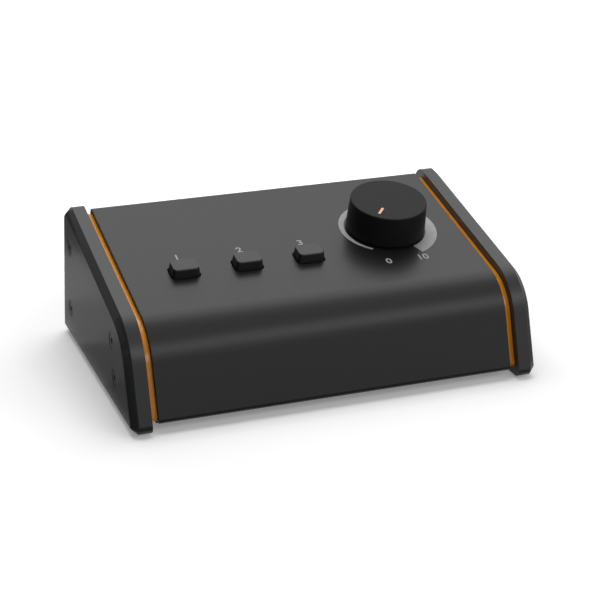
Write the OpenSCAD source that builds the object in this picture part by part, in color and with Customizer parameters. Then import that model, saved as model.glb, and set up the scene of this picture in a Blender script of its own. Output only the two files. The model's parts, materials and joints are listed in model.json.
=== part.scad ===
// Desktop studio monitor controller: a wedge-shaped sheet-metal box between two thick
// cheeks, with a large volume knob, three push buttons and audio sockets at the back.
// All sizes are in millimetres. X runs to the right, Y to the back and Z up; the origin
// is on the table, under the middle of the object.

/* [Overall shape] */
// Overall width, over both cheeks
overall_w = 180; // [170:1:200]
// Depth of a cheek along its bottom edge, before its corners are rounded
cheek_depth = 127.4; // [124:0.2:140]
// Height of a cheek's front edge, up to the top slope
front_h = 40.6; // [40:0.2:48]
// Lean of the front face, in degrees back from upright
front_lean = 17.3; // [14:0.1:19]
// Rise of the top slope towards the back, in degrees
top_slope = 13.57; // [12.5:0.05:15]
// Lean of the back, in degrees forward from upright
back_lean = 11.7; // [8:0.1:13]
// Radius of the large bend between the slope and the front, on the cheeks
bend_r = 24; // [20:0.5:27]

/* [Cheeks and trim] */
// Thickness of a cheek
cheek_t = 8.5; // [7:0.1:10]
// Width of the chamfer round a cheek's outer face
cheek_chamfer = 2.9; // [2:0.1:3.2]
// Thickness of the amber plate between a cheek and the box
trim_t = 3.2; // [2.5:0.1:4]
// How far the cheeks stand proud of the box
cheek_proud = 1.45; // [1:0.05:2]
// How deep the edge of the amber plate lies below the box
groove_d = 2; // [1:0.1:3]
// How far the cheeks reach past the box at the back
back_overhang = 3.4; // [3:0.1:5]

/* [Box] */
// Thickness of the sheet metal
sheet_t = 1.5; // [1.2:0.1:1.5]
// Height of the box's underside above the table
box_lift = 4.2; // [4:0.1:5]
// Height of the cheeks' underside above the table
cheek_lift = 1; // [0.6:0.1:1.5]
// Diameter of a rubber foot
foot_d = 14; // [12:0.5:16]

/* [Volume knob] */
// Distance of the knob from the middle, to the right
knob_x = 45.2; // [42:0.1:47]
// Distance of the knob up the slope from the front corner line
knob_v = 53.84; // [52:0.1:55]
// Diameter of the knob at its base
knob_base_d = 35.6; // [34:0.1:37]
// Diameter of the knob at its top
knob_top_d = 34; // [32:0.1:35]
// Height of the knob's top above the slope
knob_h = 14.8; // [14:0.1:17]
// Angle of the indicator at minimum, in degrees from straight right
indicator_angle = -130; // [-140:1:-120]

/* [Push buttons] */
// Place of the middle button, measured from the centre line
button_x = -24.6; // [-26:0.1:-23]
// Spacing of the three buttons
button_pitch = 28; // [24:0.5:29]
// Distance of the buttons up the slope from the front corner line
button_v = 38.8; // [37:0.1:41]
// Width of a button at the panel
button_w = 12.4; // [12:0.1:14]
// Depth of a button at the panel
button_d = 9.3; // [9:0.1:10.4]
// Height of a button above the panel
button_h = 4.1; // [4:0.1:5.5]
// Travel of a button
button_travel = 2.5; // [1.5:0.1:2.6]

/* [Rear sockets] */
// Spacing of the round sockets
socket_pitch = 30; // [28:0.5:30]
// Place of the outermost input socket, measured from the centre line
first_socket_x = -54; // [-55:0.5:-52]
// Height of the socket centres up the rear panel
socket_u = 25.5; // [24:0.5:28]
// Place of the small stereo jack, measured from the centre line
mini_jack_x = 60; // [58:0.5:61]

/* [Hidden] */
$fn = 96;

// A hair's breadth that lets a cutter run past the face it cuts
eps = 0.02;
// Gap between flat faces that are assembled side by side
seat_gap = 0.1;
// Gap round a fastener's shank in its hole or nut
thread_gap = 0.05;

// ---- side profile, in the Y-Z plane ------------------------------------------------
// Each outline is a quadrilateral of four lines moved in from the cheek's own outline,
// in the order front bottom, front top, top back, back bottom.

corner_r = 3.5;         // bottom corners of a cheek
top_back_r = 7.5;       // top back corner of a cheek
box_back_r = 4;         // bend at the back of the cover
box_front_r = 1.8;      // bend at the foot of the cover's front
lip_h = 12;             // lip of the cover over the rear panel, from the corner line
front_flange = 13.2;    // flange of the cover under the front
side_flange = 9;        // flanges of the side plates
rear_flange = 12;       // flange of the rear panel over the base pan
trim_lift = 0.6;        // bottom of an amber plate above the box's underside
pan_set_back = 6;       // front edge of the base pan behind the cover's corner line
front_foot_in = 19;     // middle of a front foot behind the cover's corner line
rear_foot_in = 20;      // middle of a rear foot before the rear panel

box_w = overall_w - 2 * (cheek_t + trim_t);

// Y of the cheek's front bottom corner line, chosen so that the rounded cheeks are
// centred on the origin
front_reach = corner_r * (1 / tan((90 - front_lean) / 2) - 1);
back_reach = corner_r * (1 / tan((90 - back_lean) / 2) - 1);
y_front = -(cheek_depth - back_reach + front_reach) / 2;

dir_front = [sin(front_lean), cos(front_lean)];
dir_top = [cos(top_slope), sin(top_slope)];
dir_back = [sin(back_lean), -cos(back_lean)];
in_front = [cos(front_lean), -sin(front_lean)];
in_top = [sin(top_slope), -cos(top_slope)];
in_back = [-cos(back_lean), -sin(back_lean)];

cheek_front_foot = [y_front, cheek_lift];
cheek_front_top = cheek_front_foot + [front_h * tan(front_lean), front_h];
cheek_back_foot = [y_front + cheek_depth, cheek_lift];

// Where two lines cross, each given by a point and a direction
function crossing(p, d, q, e) = p + d * (cross(q - p, e) / cross(d, e));

// The four corners of the profile moved in by a distance on each side; the bottom is a
// height above the table
function profile(front, top, back, bottom) =
    let (
        on_front = cheek_front_foot + front * in_front,
        on_top = cheek_front_top + top * in_top,
        on_back = cheek_back_foot + back * in_back,
        on_bottom = [0, bottom]
    ) [
        crossing(on_front, dir_front, on_bottom, [1, 0]),
        crossing(on_front, dir_front, on_top, dir_top),
        crossing(on_top, dir_top, on_back, dir_back),
        crossing(on_back, dir_back, on_bottom, [1, 0])
    ];

function unit(v) = v / norm(v);
function corner_half_angle(a, b, c) = acos(unit(a - b) * unit(c - b)) / 2;
function fillet_centre(a, b, c, r) =
    b + unit(unit(a - b) + unit(c - b)) * r / sin(corner_half_angle(a, b, c));
function tangent_point(a, b, c, r) = b + unit(a - b) * r / tan(corner_half_angle(a, b, c));

// The wedge of a corner that its fillet fills, reaching past the corner by half
module fillet_wedge(a, b, c, r) {
    centre = fillet_centre(a, b, c, r);
    polygon([for (p = [centre, tangent_point(a, b, c, r), b, tangent_point(c, b, a, r)])
        centre + 1.5 * (p - centre)]);
}

// A polygon with its corners rounded by true arcs
module rounded_outline(v, r) {
    n = len(v);
    polygon([for (i = [0:n - 1])
        let (a = v[(i + n - 1) % n], b = v[i], c = v[(i + 1) % n])
        each [tangent_point(a, b, c, r[i]), fillet_centre(a, b, c, r[i]),
            tangent_point(c, b, a, r[i])]]);
    for (i = [0:n - 1]) {
        a = v[(i + n - 1) % n];
        c = v[(i + 1) % n];
        intersection() {
            fillet_wedge(a, v[i], c, r[i]);
            translate(fillet_centre(a, v[i], c, r[i])) circle(r[i]);
        }
    }
}

// Extrudes a Y-Z outline along X
module along_x(x, w) {
    translate([x, 0, 0]) rotate([90, 0, 90]) linear_extrude(w) children();
}

module mirrored() {
    mirror([1, 0, 0]) children();
}

cheek_profile = profile(0, 0, 0, cheek_lift);
cheek_radii = [corner_r, bend_r, top_back_r, corner_r];

box_profile = profile(cheek_proud, cheek_proud, back_overhang, box_lift);
box_bend_r = bend_r - cheek_proud;
box_radii = [box_front_r, box_bend_r, box_back_r, 1];

trim_inset = cheek_proud + groove_d;
trim_profile = profile(trim_inset, trim_inset, back_overhang + groove_d,
    box_lift + trim_lift);
trim_radii = [1.5, bend_r - trim_inset, 2.5, 1.5];

// ---- frames of reference -----------------------------------------------------------

// On the slope: x as it is, v up the slope from the box's front corner line and w out
// of the panel
module on_slope(x = 0, v = 0, w = 0) {
    translate([x, box_profile[1][0], box_profile[1][1]])
        rotate([top_slope, 0, 0])
            translate([0, v, w]) children();
}

// On the outer face of the rear panel: x as it is, u up the panel from the box's
// underside and w outwards
rear_profile = profile(0, cheek_proud, back_overhang + sheet_t, box_lift);
rear_h = norm(box_profile[2] - box_profile[3]);

module on_rear(x = 0, u = 0, w = 0) {
    translate([x, rear_profile[3][0], rear_profile[3][1]])
        rotate([90 - back_lean, 0, 180])
            translate([0, u, w]) children();
}

// A point of the Y-Z plane given on the slope or on the rear panel
function slope_point(v, w) = box_profile[1] + v * dir_top - w * in_top;
function rear_point(u, w) = rear_profile[3] - u * dir_back - w * in_back;

// ---- cheeks ------------------------------------------------------------------------

// Places of the cheek screws, in Y and Z
screw_places = [
    [y_front + 31, cheek_lift + 30.5], [y_front + 28.8, cheek_lift + 15],
    [y_front + 104, cheek_lift + 46.4], [y_front + 108, cheek_lift + 16.2]
];
cheek_screw_r = 2;
cheek_head_r = 3.8;
cheek_head_h = 2;

module at_cheek_screws() {
    for (p = screw_places) translate([overall_w / 2, p[0], p[1]]) rotate([0, -90, 0]) children();
}

module right_cheek() {
    c = cheek_chamfer;
    color("#2c2c2d") difference() {
        translate([overall_w / 2 - cheek_t, 0, 0]) rotate([90, 0, 90]) hull() {
            linear_extrude(cheek_t - c) rounded_outline(cheek_profile, cheek_radii, $fn = 64);
            linear_extrude(cheek_t)
                rounded_outline(profile(c, c, c, cheek_lift + c), [for (r = cheek_radii) r - c],
                    $fn = 64);
        }
        at_cheek_screws() {
            translate([0, 0, -1]) cylinder(cheek_t + 2, r = cheek_screw_r + 0.2);
            translate([0, 0, -eps])
                cylinder(cheek_head_h + 0.2, cheek_head_r + 0.2, cheek_screw_r + 0.2);
        }
    }
}

module left_cheek() {
    mirrored() right_cheek();
}

module right_trim_plate() {
    color("#d98a35") difference() {
        along_x(box_w / 2, trim_t) rounded_outline(trim_profile, trim_radii);
        at_cheek_screws() cylinder(cheek_t + trim_t + 1, r = cheek_screw_r + 0.2);
    }
}

module left_trim_plate() {
    mirrored() right_trim_plate();
}

// A countersunk screw with a hexagon socket, its head's top at the origin and its shank
// along +Z
module countersunk_screw(shank_r, head_r, head_h, length, socket_r, socket_d) {
    difference() {
        union() {
            cylinder(head_h, head_r, shank_r);
            cylinder(length, r = shank_r);
        }
        translate([0, 0, -eps]) cylinder(socket_d, r = socket_r, $fn = 6);
    }
}

cheek_screw_l = 16;

module cheek_screws() {
    color("#3a3a3c") for (side = [0, 1]) mirror([side, 0, 0])
        at_cheek_screws() translate([0, 0, 0.15])
            countersunk_screw(cheek_screw_r, cheek_head_r, cheek_head_h, cheek_screw_l, 1.45, 1.6);
}

// ---- side plates -------------------------------------------------------------------

side_nut_r = 4.2;
side_nut_h = 3;
side_x = box_w / 2 - sheet_t;
side_inset = sheet_t + seat_gap;
side_profile = profile(cheek_proud + side_inset, cheek_proud + side_inset,
    back_overhang + 2 * sheet_t + seat_gap, box_lift + side_inset);
side_screw_x = box_w / 2 - 6;
side_screw_u = [9, 34];
side_flange_u = [4, 38];
base_side_y = 10;

module right_side_plate() {
    bottom_y = side_profile[0][0] + front_flange + 1;
    bottom_len = side_profile[3][0] - rear_flange - 1 - bottom_y;
    color("#313132") difference() {
        union() {
            along_x(side_x, sheet_t - seat_gap / 2)
                rounded_outline(side_profile, [1, box_bend_r - side_inset, 3, 1]);
            translate([side_x - side_flange, bottom_y, box_lift])
                cube([side_flange + 1, bottom_len, sheet_t]);
            translate([side_x, bottom_y, box_lift])
                cube([sheet_t - seat_gap / 2, bottom_len, 2 * sheet_t]);
            on_rear(side_x + 1, side_flange_u[0], -3 * sheet_t - seat_gap)
                cube([side_flange + 1, side_flange_u[1] - side_flange_u[0], sheet_t]);
        }
        at_cheek_screws() cylinder(30, r = cheek_screw_r + 0.2);
        translate([side_screw_x, base_side_y, 0]) cylinder(20, r = 1.7);
        for (u = side_screw_u) on_rear(side_screw_x, u, -8) cylinder(8, r = 1.7);
    }
}

module left_side_plate() {
    mirrored() right_side_plate();
}

// A clinch nut, standing on the origin
module clinch_nut(r, h, bore_r) {
    difference() {
        cylinder(h, r = r);
        translate([0, 0, -1]) cylinder(h + 2, r = bore_r);
    }
}

module side_plate_nuts() {
    color("#b9bcc0") for (side = [0, 1]) mirror([side, 0, 0])
        at_cheek_screws() translate([0, 0, overall_w / 2 - side_x])
            clinch_nut(side_nut_r, side_nut_h, cheek_screw_r + thread_gap);
}

// ---- cover -------------------------------------------------------------------------

cap_gap = 0.4;
pot_hole_r = 4.6;

// A rectangle with round corners, centred on the origin
module rounded_rectangle(w, d, r) {
    square([w - 2 * r, d], center = true);
    square([w, d - 2 * r], center = true);
    for (x = [-1, 1], y = [-1, 1]) translate([x * (w / 2 - r), y * (d / 2 - r)]) circle(r);
}

function button_at(n) = button_x + (n - 2) * button_pitch;

lip_screw_x = [-60, 0, 60];
lip_screw_u = rear_h - 7.5;
base_screw_x = [-50, 50];
base_screw_in = [9.6, 8.5];     // from the box's front and rear corner lines
base_front_y = box_profile[0][0] + base_screw_in[0];
base_rear_y = rear_profile[3][0] - base_screw_in[1];

// The outer face of the cover as a path: end of the front flange, the three bends, end
// of the lip
cover_path = [
    box_profile[0] + [front_flange, 0], box_profile[0], box_profile[1], box_profile[2],
    box_profile[2] + dir_back * lip_h
];
cover_bends = [0, box_front_r, box_bend_r, box_back_r, 0];

// Points on the bend at corner b of the path a, b, c, which turns clockwise: r is the
// radius of the outer face and reach that of the face that is drawn
bend_step = 3;
function bend_arc(a, b, c, r, reach) =
    let (
        centre = fillet_centre(a, b, c, r),
        spoke = tangent_point(a, b, c, r) - centre,
        from = atan2(spoke[1], spoke[0]),
        sweep = 180 - 2 * corner_half_angle(a, b, c),
        steps = ceil(sweep / bend_step)
    ) [for (i = [0:steps])
        let (angle = from - sweep * i / steps) centre + reach * [cos(angle), sin(angle)]];

// Sheet metal bent along a path, its outer face on the path and its body to the right
function right_of(a, b) = let (d = unit(b - a)) [d[1], -d[0]];
function sheet_face(v, r, depth) =
    let (last = len(v) - 1) [
        v[0] + depth * right_of(v[0], v[1]),
        for (i = [1:last - 1]) each bend_arc(v[i - 1], v[i], v[i + 1], r[i], r[i] - depth),
        v[last] + depth * right_of(v[last - 1], v[last])
    ];

module bent_sheet(v, r, t) {
    inner = sheet_face(v, r, t);
    polygon([each sheet_face(v, r, 0), for (i = [len(inner) - 1:-1:0]) inner[i]]);
}

module top_cover() {
    color("#313132") difference() {
        along_x(-box_w / 2, box_w) bent_sheet(cover_path, cover_bends, sheet_t);
        for (n = [1:3]) on_slope(button_at(n), button_v, -sheet_t - 1)
            linear_extrude(sheet_t + 2)
                rounded_rectangle(button_w + 2 * cap_gap, button_d + 2 * cap_gap, 2.4);
        on_slope(knob_x, knob_v, -sheet_t - 1) cylinder(sheet_t + 2, r = pot_hole_r);
        for (x = lip_screw_x) on_rear(x, lip_screw_u, -1) cylinder(4, r = 1.7);
        for (x = base_screw_x) translate([x, base_front_y, 0]) cylinder(8, r = 1.7);
    }
}

// ---- rear panel and base pan -------------------------------------------------------

socket_hole_r = 12;
socket_xs = [for (i = [0:3]) first_socket_x + i * socket_pitch];
flange_w = 26;
flange_h = 31;
flange_screw_x = 9.5;
flange_screw_u = 12;
jack_thread_r = 3;
jack_u = 25.5;

module rear_panel() {
    panel_top = rear_h - box_back_r - 0.3;
    inner_foot = crossing(rear_point(0, -sheet_t), dir_back, [0, box_lift + sheet_t], [1, 0]);
    flange_end = rear_profile[3] - [rear_flange, 0];
    color("#29292a") difference() {
        along_x(seat_gap - box_w / 2, box_w - 2 * seat_gap)
            polygon([flange_end, rear_profile[3], rear_point(panel_top, 0),
                rear_point(panel_top, -sheet_t), inner_foot, flange_end + [0, sheet_t]]);
        for (x = socket_xs) on_rear(x, socket_u, -4) {
            cylinder(8, r = socket_hole_r);
            for (s = [-1, 1]) translate([s * flange_screw_x, s * flange_screw_u, 0])
                cylinder(8, r = 1.7);
        }
        on_rear(mini_jack_x, jack_u, -4) cylinder(8, r = jack_thread_r + 0.1);
        for (x = lip_screw_x) on_rear(x, lip_screw_u, -4) cylinder(8, r = 1.7);
        for (s = [-1, 1], u = side_screw_u) on_rear(s * side_screw_x, u, -4)
            cylinder(8, r = 1.7);
        for (x = base_screw_x) translate([x, base_rear_y, 0]) cylinder(9, r = 1.7);
    }
}

base_t = sheet_t;
base_z = box_lift - base_t;
base_head_r = 2.8;
base_places = [
    for (x = base_screw_x, y = [base_front_y, base_rear_y]) [x, y],
    [-side_screw_x, base_side_y], [side_screw_x, base_side_y]
];

module base_pan() {
    front = box_profile[0][0] + pan_set_back;
    color("#3b3c3e") difference() {
        translate([-box_w / 2, front, base_z])
            cube([box_w, rear_profile[3][0] - 1 - front, base_t]);
        for (p = base_places) translate([p[0], p[1], base_z - eps]) {
            cylinder(base_t + 1, r = 1.7);
            cylinder(1.35, base_head_r + 0.15, 1.6);
        }
    }
}

module base_screws() {
    color("#3a3a3c") for (p = base_places) translate([p[0], p[1], base_z + 0.05])
        countersunk_screw(1.5, base_head_r, 1.3, 7, 1.1, 1);
}

foot_y = [box_profile[0][0] + front_foot_in, rear_profile[3][0] - rear_foot_in];
foot_x = box_w / 2 - 12;

module foot(x, y) {
    color("#1c1c1c") translate([x, y, 0]) difference() {
        cylinder(base_z, foot_d / 2 - 0.8, foot_d / 2);
        translate([0, 0, -eps]) cylinder(0.5, r = foot_d / 4);
    }
}

module foot_front_left() {
    foot(-foot_x, foot_y[0]);
}

module foot_front_right() {
    foot(foot_x, foot_y[0]);
}

module foot_rear_left() {
    foot(-foot_x, foot_y[1]);
}

module foot_rear_right() {
    foot(foot_x, foot_y[1]);
}

// A pan head screw, the underside of its head at the origin and its shank along -Z
module pan_screw(shank_r, head_r, head_h, length) {
    difference() {
        union() {
            intersection() {
                cylinder(head_h, r = head_r);
                translate([0, 0, head_h - 2.5 * head_r]) sphere(2.5 * head_r);
            }
            translate([0, 0, -length]) cylinder(length + eps, r = shank_r);
        }
        translate([0, 0, head_h - 1]) cylinder(2, r = head_r * 0.45, $fn = 6);
    }
}

module rear_screws() {
    color("#3a3a3c") {
        for (x = lip_screw_x) on_rear(x, lip_screw_u, sheet_t + eps) pan_screw(1.5, 2.75, 1.8, 8);
        for (s = [-1, 1], u = side_screw_u) on_rear(s * side_screw_x, u, eps)
            pan_screw(1.5, 2.75, 1.8, 8);
    }
}

module panel_nuts() {
    nut_h = 2.4;
    nut_r = 3;
    bore_r = 1.5 + thread_gap;
    color("#b9bcc0") {
        for (x = lip_screw_x) on_rear(x, lip_screw_u, -sheet_t - nut_h)
            clinch_nut(nut_r, nut_h, bore_r);
        for (s = [-1, 1], u = side_screw_u)
            on_rear(s * side_screw_x, u, -3 * sheet_t - seat_gap - nut_h)
                clinch_nut(nut_r, nut_h, bore_r);
        for (p = base_places) translate([p[0], p[1], box_lift + sheet_t])
            clinch_nut(nut_r, nut_h, bore_r);
    }
}

// ---- volume knob and potentiometer -------------------------------------------------

knob_foot = 0.8;        // gap between the knob and the panel
knob_edge_r = 0.5;      // rounding of the knob's top edge
knob_roof = 2.2;        // thickness of the shell's top
knob_wall = 2.4;
core_r = knob_top_d / 2 - knob_wall - 0.2;
core_boss_r = 5.5;
core_disc = 1.5;
core_foot = 3.7;
shaft_r = 3;
shaft_top = 11.6;
indicator_w = 1.2;
indicator_in = 8.1;
indicator_out = 13.6;
indicator_deep = 0.8;

module at_knob(w = 0) {
    on_slope(knob_x, knob_v, w) children();
}

module knob_shell() {
    top_r = knob_top_d / 2;
    base_r = knob_base_d / 2;
    lean = (base_r - top_r) / (knob_h - knob_foot);
    edge_x = top_r - knob_edge_r + lean * knob_edge_r;
    color("#1b1b1b") at_knob() difference() {
        rotate_extrude() union() {
            polygon([[0, knob_foot], [base_r, knob_foot],
                [top_r + lean * knob_edge_r, knob_h - knob_edge_r],
                [edge_x, knob_h - knob_edge_r], [edge_x, knob_h], [0, knob_h]]);
            intersection() {
                translate([edge_x, knob_h - knob_edge_r]) circle(knob_edge_r);
                translate([edge_x - 0.1, knob_h - knob_edge_r - 0.1])
                    square(knob_edge_r + 0.1);
            }
        }
        translate([0, 0, knob_foot - eps])
            cylinder(knob_h - knob_foot - knob_roof + eps, r = core_r);
        rotate(indicator_angle) translate([0, 0, knob_h - indicator_deep])
            indicator_bar(indicator_deep + 1);
    }
}

module indicator_bar(h) {
    translate([indicator_in, -indicator_w / 2, 0])
        cube([indicator_out - indicator_in, indicator_w, h]);
}

module knob_indicator() {
    color("#f08a3c") at_knob(knob_h - indicator_deep) rotate(indicator_angle)
        indicator_bar(indicator_deep + 0.05);
}

// The shaft's outline, with a flat along its upper part
module d_outline(r) {
    intersection() {
        circle(r);
        translate([-r, -r]) square([2 * r, 2 * r - 1.5]);
    }
}

module knob_core() {
    disc_top = knob_h - knob_roof;
    color("#2a2a2a") at_knob() difference() {
        union() {
            translate([0, 0, disc_top - core_disc]) cylinder(core_disc, r = core_r);
            translate([0, 0, core_foot]) cylinder(disc_top - core_foot, r = core_boss_r);
            for (a = [0:60:300]) rotate(a)
                translate([0, -0.6, core_foot + 3])
                    cube([core_r - 0.1, 1.2, disc_top - core_foot - 3]);
        }
        translate([0, 0, core_foot - 1]) linear_extrude(shaft_top - core_foot + 1.2)
            d_outline(shaft_r + 0.02);
    }
}

gang_count = 4;
gang_h = 5.2;
pot_w = 17;
pot_plate_t = 1;
rotor_r = 6.6;
pot_top = -sheet_t - pot_plate_t;
pot_bottom = pot_top - gang_count * gang_h - 1;
bushing_top = 3.2;
washer_t = 0.6;
nut_t = 2.2;

module pot_shaft() {
    color("#c9cbce") at_knob() {
        translate([0, 0, pot_bottom + 1.2]) cylinder(3.6 - pot_bottom - 1.2, r = shaft_r);
        translate([0, 0, 3.5]) linear_extrude(shaft_top - 3.5) d_outline(shaft_r);
    }
}

module pot_wipers() {
    color("#d9d2b8") at_knob() for (i = [1:gang_count])
        translate([0, 0, pot_top - (i - 0.35) * gang_h]) difference() {
            union() {
                cylinder(1.2, r = shaft_r + 1.5);
                for (a = [0, 180]) rotate(a) translate([0, -1, 0]) cube([rotor_r, 2, 1.2]);
            }
            translate([0, 0, -1]) cylinder(4, r = shaft_r);
        }
}

module pot_bushing() {
    color("#c2a14f") at_knob() difference() {
        union() {
            translate([0, 0, -sheet_t]) cylinder(bushing_top + sheet_t, r = pot_hole_r - 0.15);
            translate([0, 0, pot_top]) linear_extrude(pot_plate_t)
                rounded_rectangle(pot_w, pot_w, 1.5);
        }
        translate([0, 0, pot_top - 1]) cylinder(10, r = shaft_r + 0.05);
    }
}

module pot_housing() {
    groove = 0.5;
    color("#2f6a4f") at_knob() difference() {
        translate([0, 0, pot_bottom]) linear_extrude(pot_top - pot_bottom)
            rounded_rectangle(pot_w, pot_w, 1.5);
        translate([0, 0, pot_bottom + 1]) cylinder(40, r = rotor_r + 0.6);
        for (i = [1:gang_count - 1]) translate([0, 0, pot_top - i * gang_h - groove / 2])
            difference() {
                translate([-pot_w, -pot_w, 0]) cube([2 * pot_w, 2 * pot_w, groove]);
                translate([0, 0, -1]) linear_extrude(2)
                    rounded_rectangle(pot_w - 2 * groove, pot_w - 2 * groove, 1.2);
            }
    }
}

module pot_washer() {
    color("#b9bcc0") at_knob() clinch_nut(7, washer_t, pot_hole_r);
}

module pot_nut() {
    color("#b9bcc0") at_knob(washer_t) difference() {
        cylinder(nut_t, r = 7, $fn = 6);
        translate([0, 0, -1]) cylinder(nut_t + 2, r = pot_hole_r - 0.1);
    }
}

volume_board_w = -sheet_t - 26;
board_t = 1.6;
terminal_pitch = 5;
terminal_wide = 0.8;
terminal_thick = 0.4;

module pot_terminals() {
    color("#d6d6d6") at_knob() for (i = [1:gang_count], j = [-1:1]) {
        z = pot_top - (i - 0.5) * gang_h;
        reach = pot_w / 2 + 1 + (gang_count - i) * 1.6;
        translate([j * terminal_pitch - terminal_wide / 2, -reach, z])
            cube([terminal_wide, reach - pot_w / 2, terminal_thick]);
        translate([j * terminal_pitch - terminal_wide / 2, -reach, volume_board_w])
            cube([terminal_wide, terminal_thick, z - volume_board_w + terminal_thick]);
    }
}

module volume_board() {
    color("#1f5a3a") at_knob(volume_board_w - board_t)
        translate([-16, -18, 0]) cube([32, 30, board_t]);
}

// ---- push buttons and switches -----------------------------------------------------

cap_draft_x = 0.55;     // how far each side of a cap leans in, towards its top
cap_draft_y = 0.5;
cap_corner_r = 2;
cap_skirt = 2;          // depth of a cap below the panel's face
cap_flange_t = 0.9;     // rim that keeps a cap under the panel
cap_flange_reach = 1.1;
cap_edge = 0.3;         // bevel of a cap's top edge
stem = 3;
stem_gap = 0.2;
board_w = -15;          // top of the switch board
switch_top = -6.4;
switch_size = [12, 9];
switch_bottom_t = 1;
switch_roof_t = 1;
well_r = 3.6;
collar_r = 3.2;
collar_t = 1.2;
stem_top = 1.6;
collar_top = switch_top - switch_roof_t - 0.2;
stem_foot = board_w + switch_bottom_t + button_travel + 0.3;

module at_button(n, w = 0) {
    on_slope(button_at(n), button_v, w) children();
}

slice_t = 0.2;

// A slice of a cap, drawn in from its base by x and y
module cap_slice(w, in_x, in_y) {
    translate([0, 0, w]) linear_extrude(slice_t)
        rounded_rectangle(button_w - 2 * in_x, button_d - 2 * in_y,
            cap_corner_r - in_x / 2, $fn = 32);
}

module button_cap(n) {
    color("#232323") at_button(n) difference() {
        union() {
            hull() {
                cap_slice(-cap_skirt, 0, 0);
                cap_slice(0, 0, 0);
                cap_slice(button_h - cap_edge - slice_t, cap_draft_x, cap_draft_y);
                cap_slice(button_h - slice_t, cap_draft_x + cap_edge, cap_draft_y + cap_edge);
            }
            translate([0, 0, -cap_skirt - cap_flange_t]) linear_extrude(cap_flange_t)
                rounded_rectangle(button_w + 2 * cap_flange_reach,
                    button_d + 2 * cap_flange_reach, cap_corner_r);
        }
        translate([-stem / 2, -stem / 2, -10]) cube([stem, stem, 10 + stem_top]);
    }
}

module switch_plunger(n) {
    color("#e6e3da") at_button(n) {
        translate([-stem / 2, -stem / 2, stem_foot])
            cube([stem, stem, stem_top - stem_foot]);
        translate([0, 0, collar_top - collar_t]) cylinder(collar_t, r = collar_r);
    }
}

module switch_body(n) {
    color("#28282a") at_button(n) difference() {
        translate([-switch_size[0] / 2, -switch_size[1] / 2, board_w])
            cube([switch_size[0], switch_size[1], switch_top - board_w]);
        translate([0, 0, board_w + switch_bottom_t])
            cylinder(switch_top - switch_roof_t - board_w - switch_bottom_t, r = well_r);
        translate([-stem / 2 - stem_gap, -stem / 2 - stem_gap, switch_top - 2])
            cube([stem + 2 * stem_gap, stem + 2 * stem_gap, 4]);
    }
}

spring_turns = 4;
spring_steps = 8;       // rings in each turn
spring_sides = 6;
spring_wire_r = 0.25;
spring_r = 2.75;
spring_low = board_w + switch_bottom_t + spring_wire_r + 0.02;
spring_high = collar_top - collar_t - spring_wire_r - 0.02;

function spring_ring(i) =
    let (
        turn = 360 * i / spring_steps,
        climb = (spring_high - spring_low) * i / (spring_turns * spring_steps)
    ) [for (k = [0:spring_sides - 1])
        let (a = 360 * k / spring_sides, reach = spring_r + spring_wire_r * cos(a))
        [reach * cos(turn), reach * sin(turn), spring_low + climb + spring_wire_r * sin(a)]];

module switch_spring(n) {
    rings = spring_turns * spring_steps;
    last = rings * spring_sides;
    color("#c9cbce") at_button(n) polyhedron(
        points = [for (i = [0:rings]) each spring_ring(i)],
        faces = [
            for (i = [0:rings - 1], k = [0:spring_sides - 1])
                let (a = i * spring_sides + k, b = i * spring_sides + (k + 1) % spring_sides)
                each [[a, b, b + spring_sides], [a, b + spring_sides, a + spring_sides]],
            for (k = [1:spring_sides - 2]) each [[0, k + 1, k], [last, last + k, last + k + 1]]
        ]);
}

module button_cap_1() {
    button_cap(1);
}

module button_cap_2() {
    button_cap(2);
}

module button_cap_3() {
    button_cap(3);
}

module switch_plunger_1() {
    switch_plunger(1);
}

module switch_plunger_2() {
    switch_plunger(2);
}

module switch_plunger_3() {
    switch_plunger(3);
}

module switch_spring_1() {
    switch_spring(1);
}

module switch_spring_2() {
    switch_spring(2);
}

module switch_spring_3() {
    switch_spring(3);
}

module switch_body_1() {
    switch_body(1);
}

module switch_body_2() {
    switch_body(2);
}

module switch_body_3() {
    switch_body(3);
}

pin_side = 0.7;
pin_hole_r = 0.6;

module at_switch_pins() {
    for (n = [1:3], i = [-1:1], j = [-1, 1]) at_button(n)
        translate([i * 4, j * 2.5, 0]) children();
}

module switch_pins() {
    color("#d6d6d6") at_switch_pins()
        translate([-pin_side / 2, -pin_side / 2, board_w - board_t - 1.2])
            cube([pin_side, pin_side, board_t + 1.2]);
}

board_size = [84, 32];
standoff_r = 2.8;
standoff_places = [for (x = [-1, 1], v = [-1, 1]) [button_x + x * 37.5, button_v + v * 12]];

module switch_board() {
    color("#1f5a3a") difference() {
        on_slope(button_x, button_v, board_w - board_t)
            translate([-board_size[0] / 2, -board_size[1] / 2, 0])
                cube([board_size[0], board_size[1], board_t]);
        at_switch_pins() translate([0, 0, board_w - board_t - 1])
            cylinder(board_t + 2, r = pin_hole_r);
        for (p = standoff_places) on_slope(p[0], p[1], board_w - board_t - 1)
            cylinder(board_t + 2, r = 1.7);
    }
}

module board_standoffs() {
    color("#b9bcc0") for (p = standoff_places) on_slope(p[0], p[1], board_w)
        clinch_nut(standoff_r, -sheet_t - board_w, 1.5 + thread_gap);
}

module board_screws() {
    color("#b9bcc0") for (p = standoff_places) on_slope(p[0], p[1], board_w - board_t)
        rotate([180, 0, 0]) pan_screw(1.5, 2.75, 1.8, 6);
}

// ---- rear sockets ------------------------------------------------------------------

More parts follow.
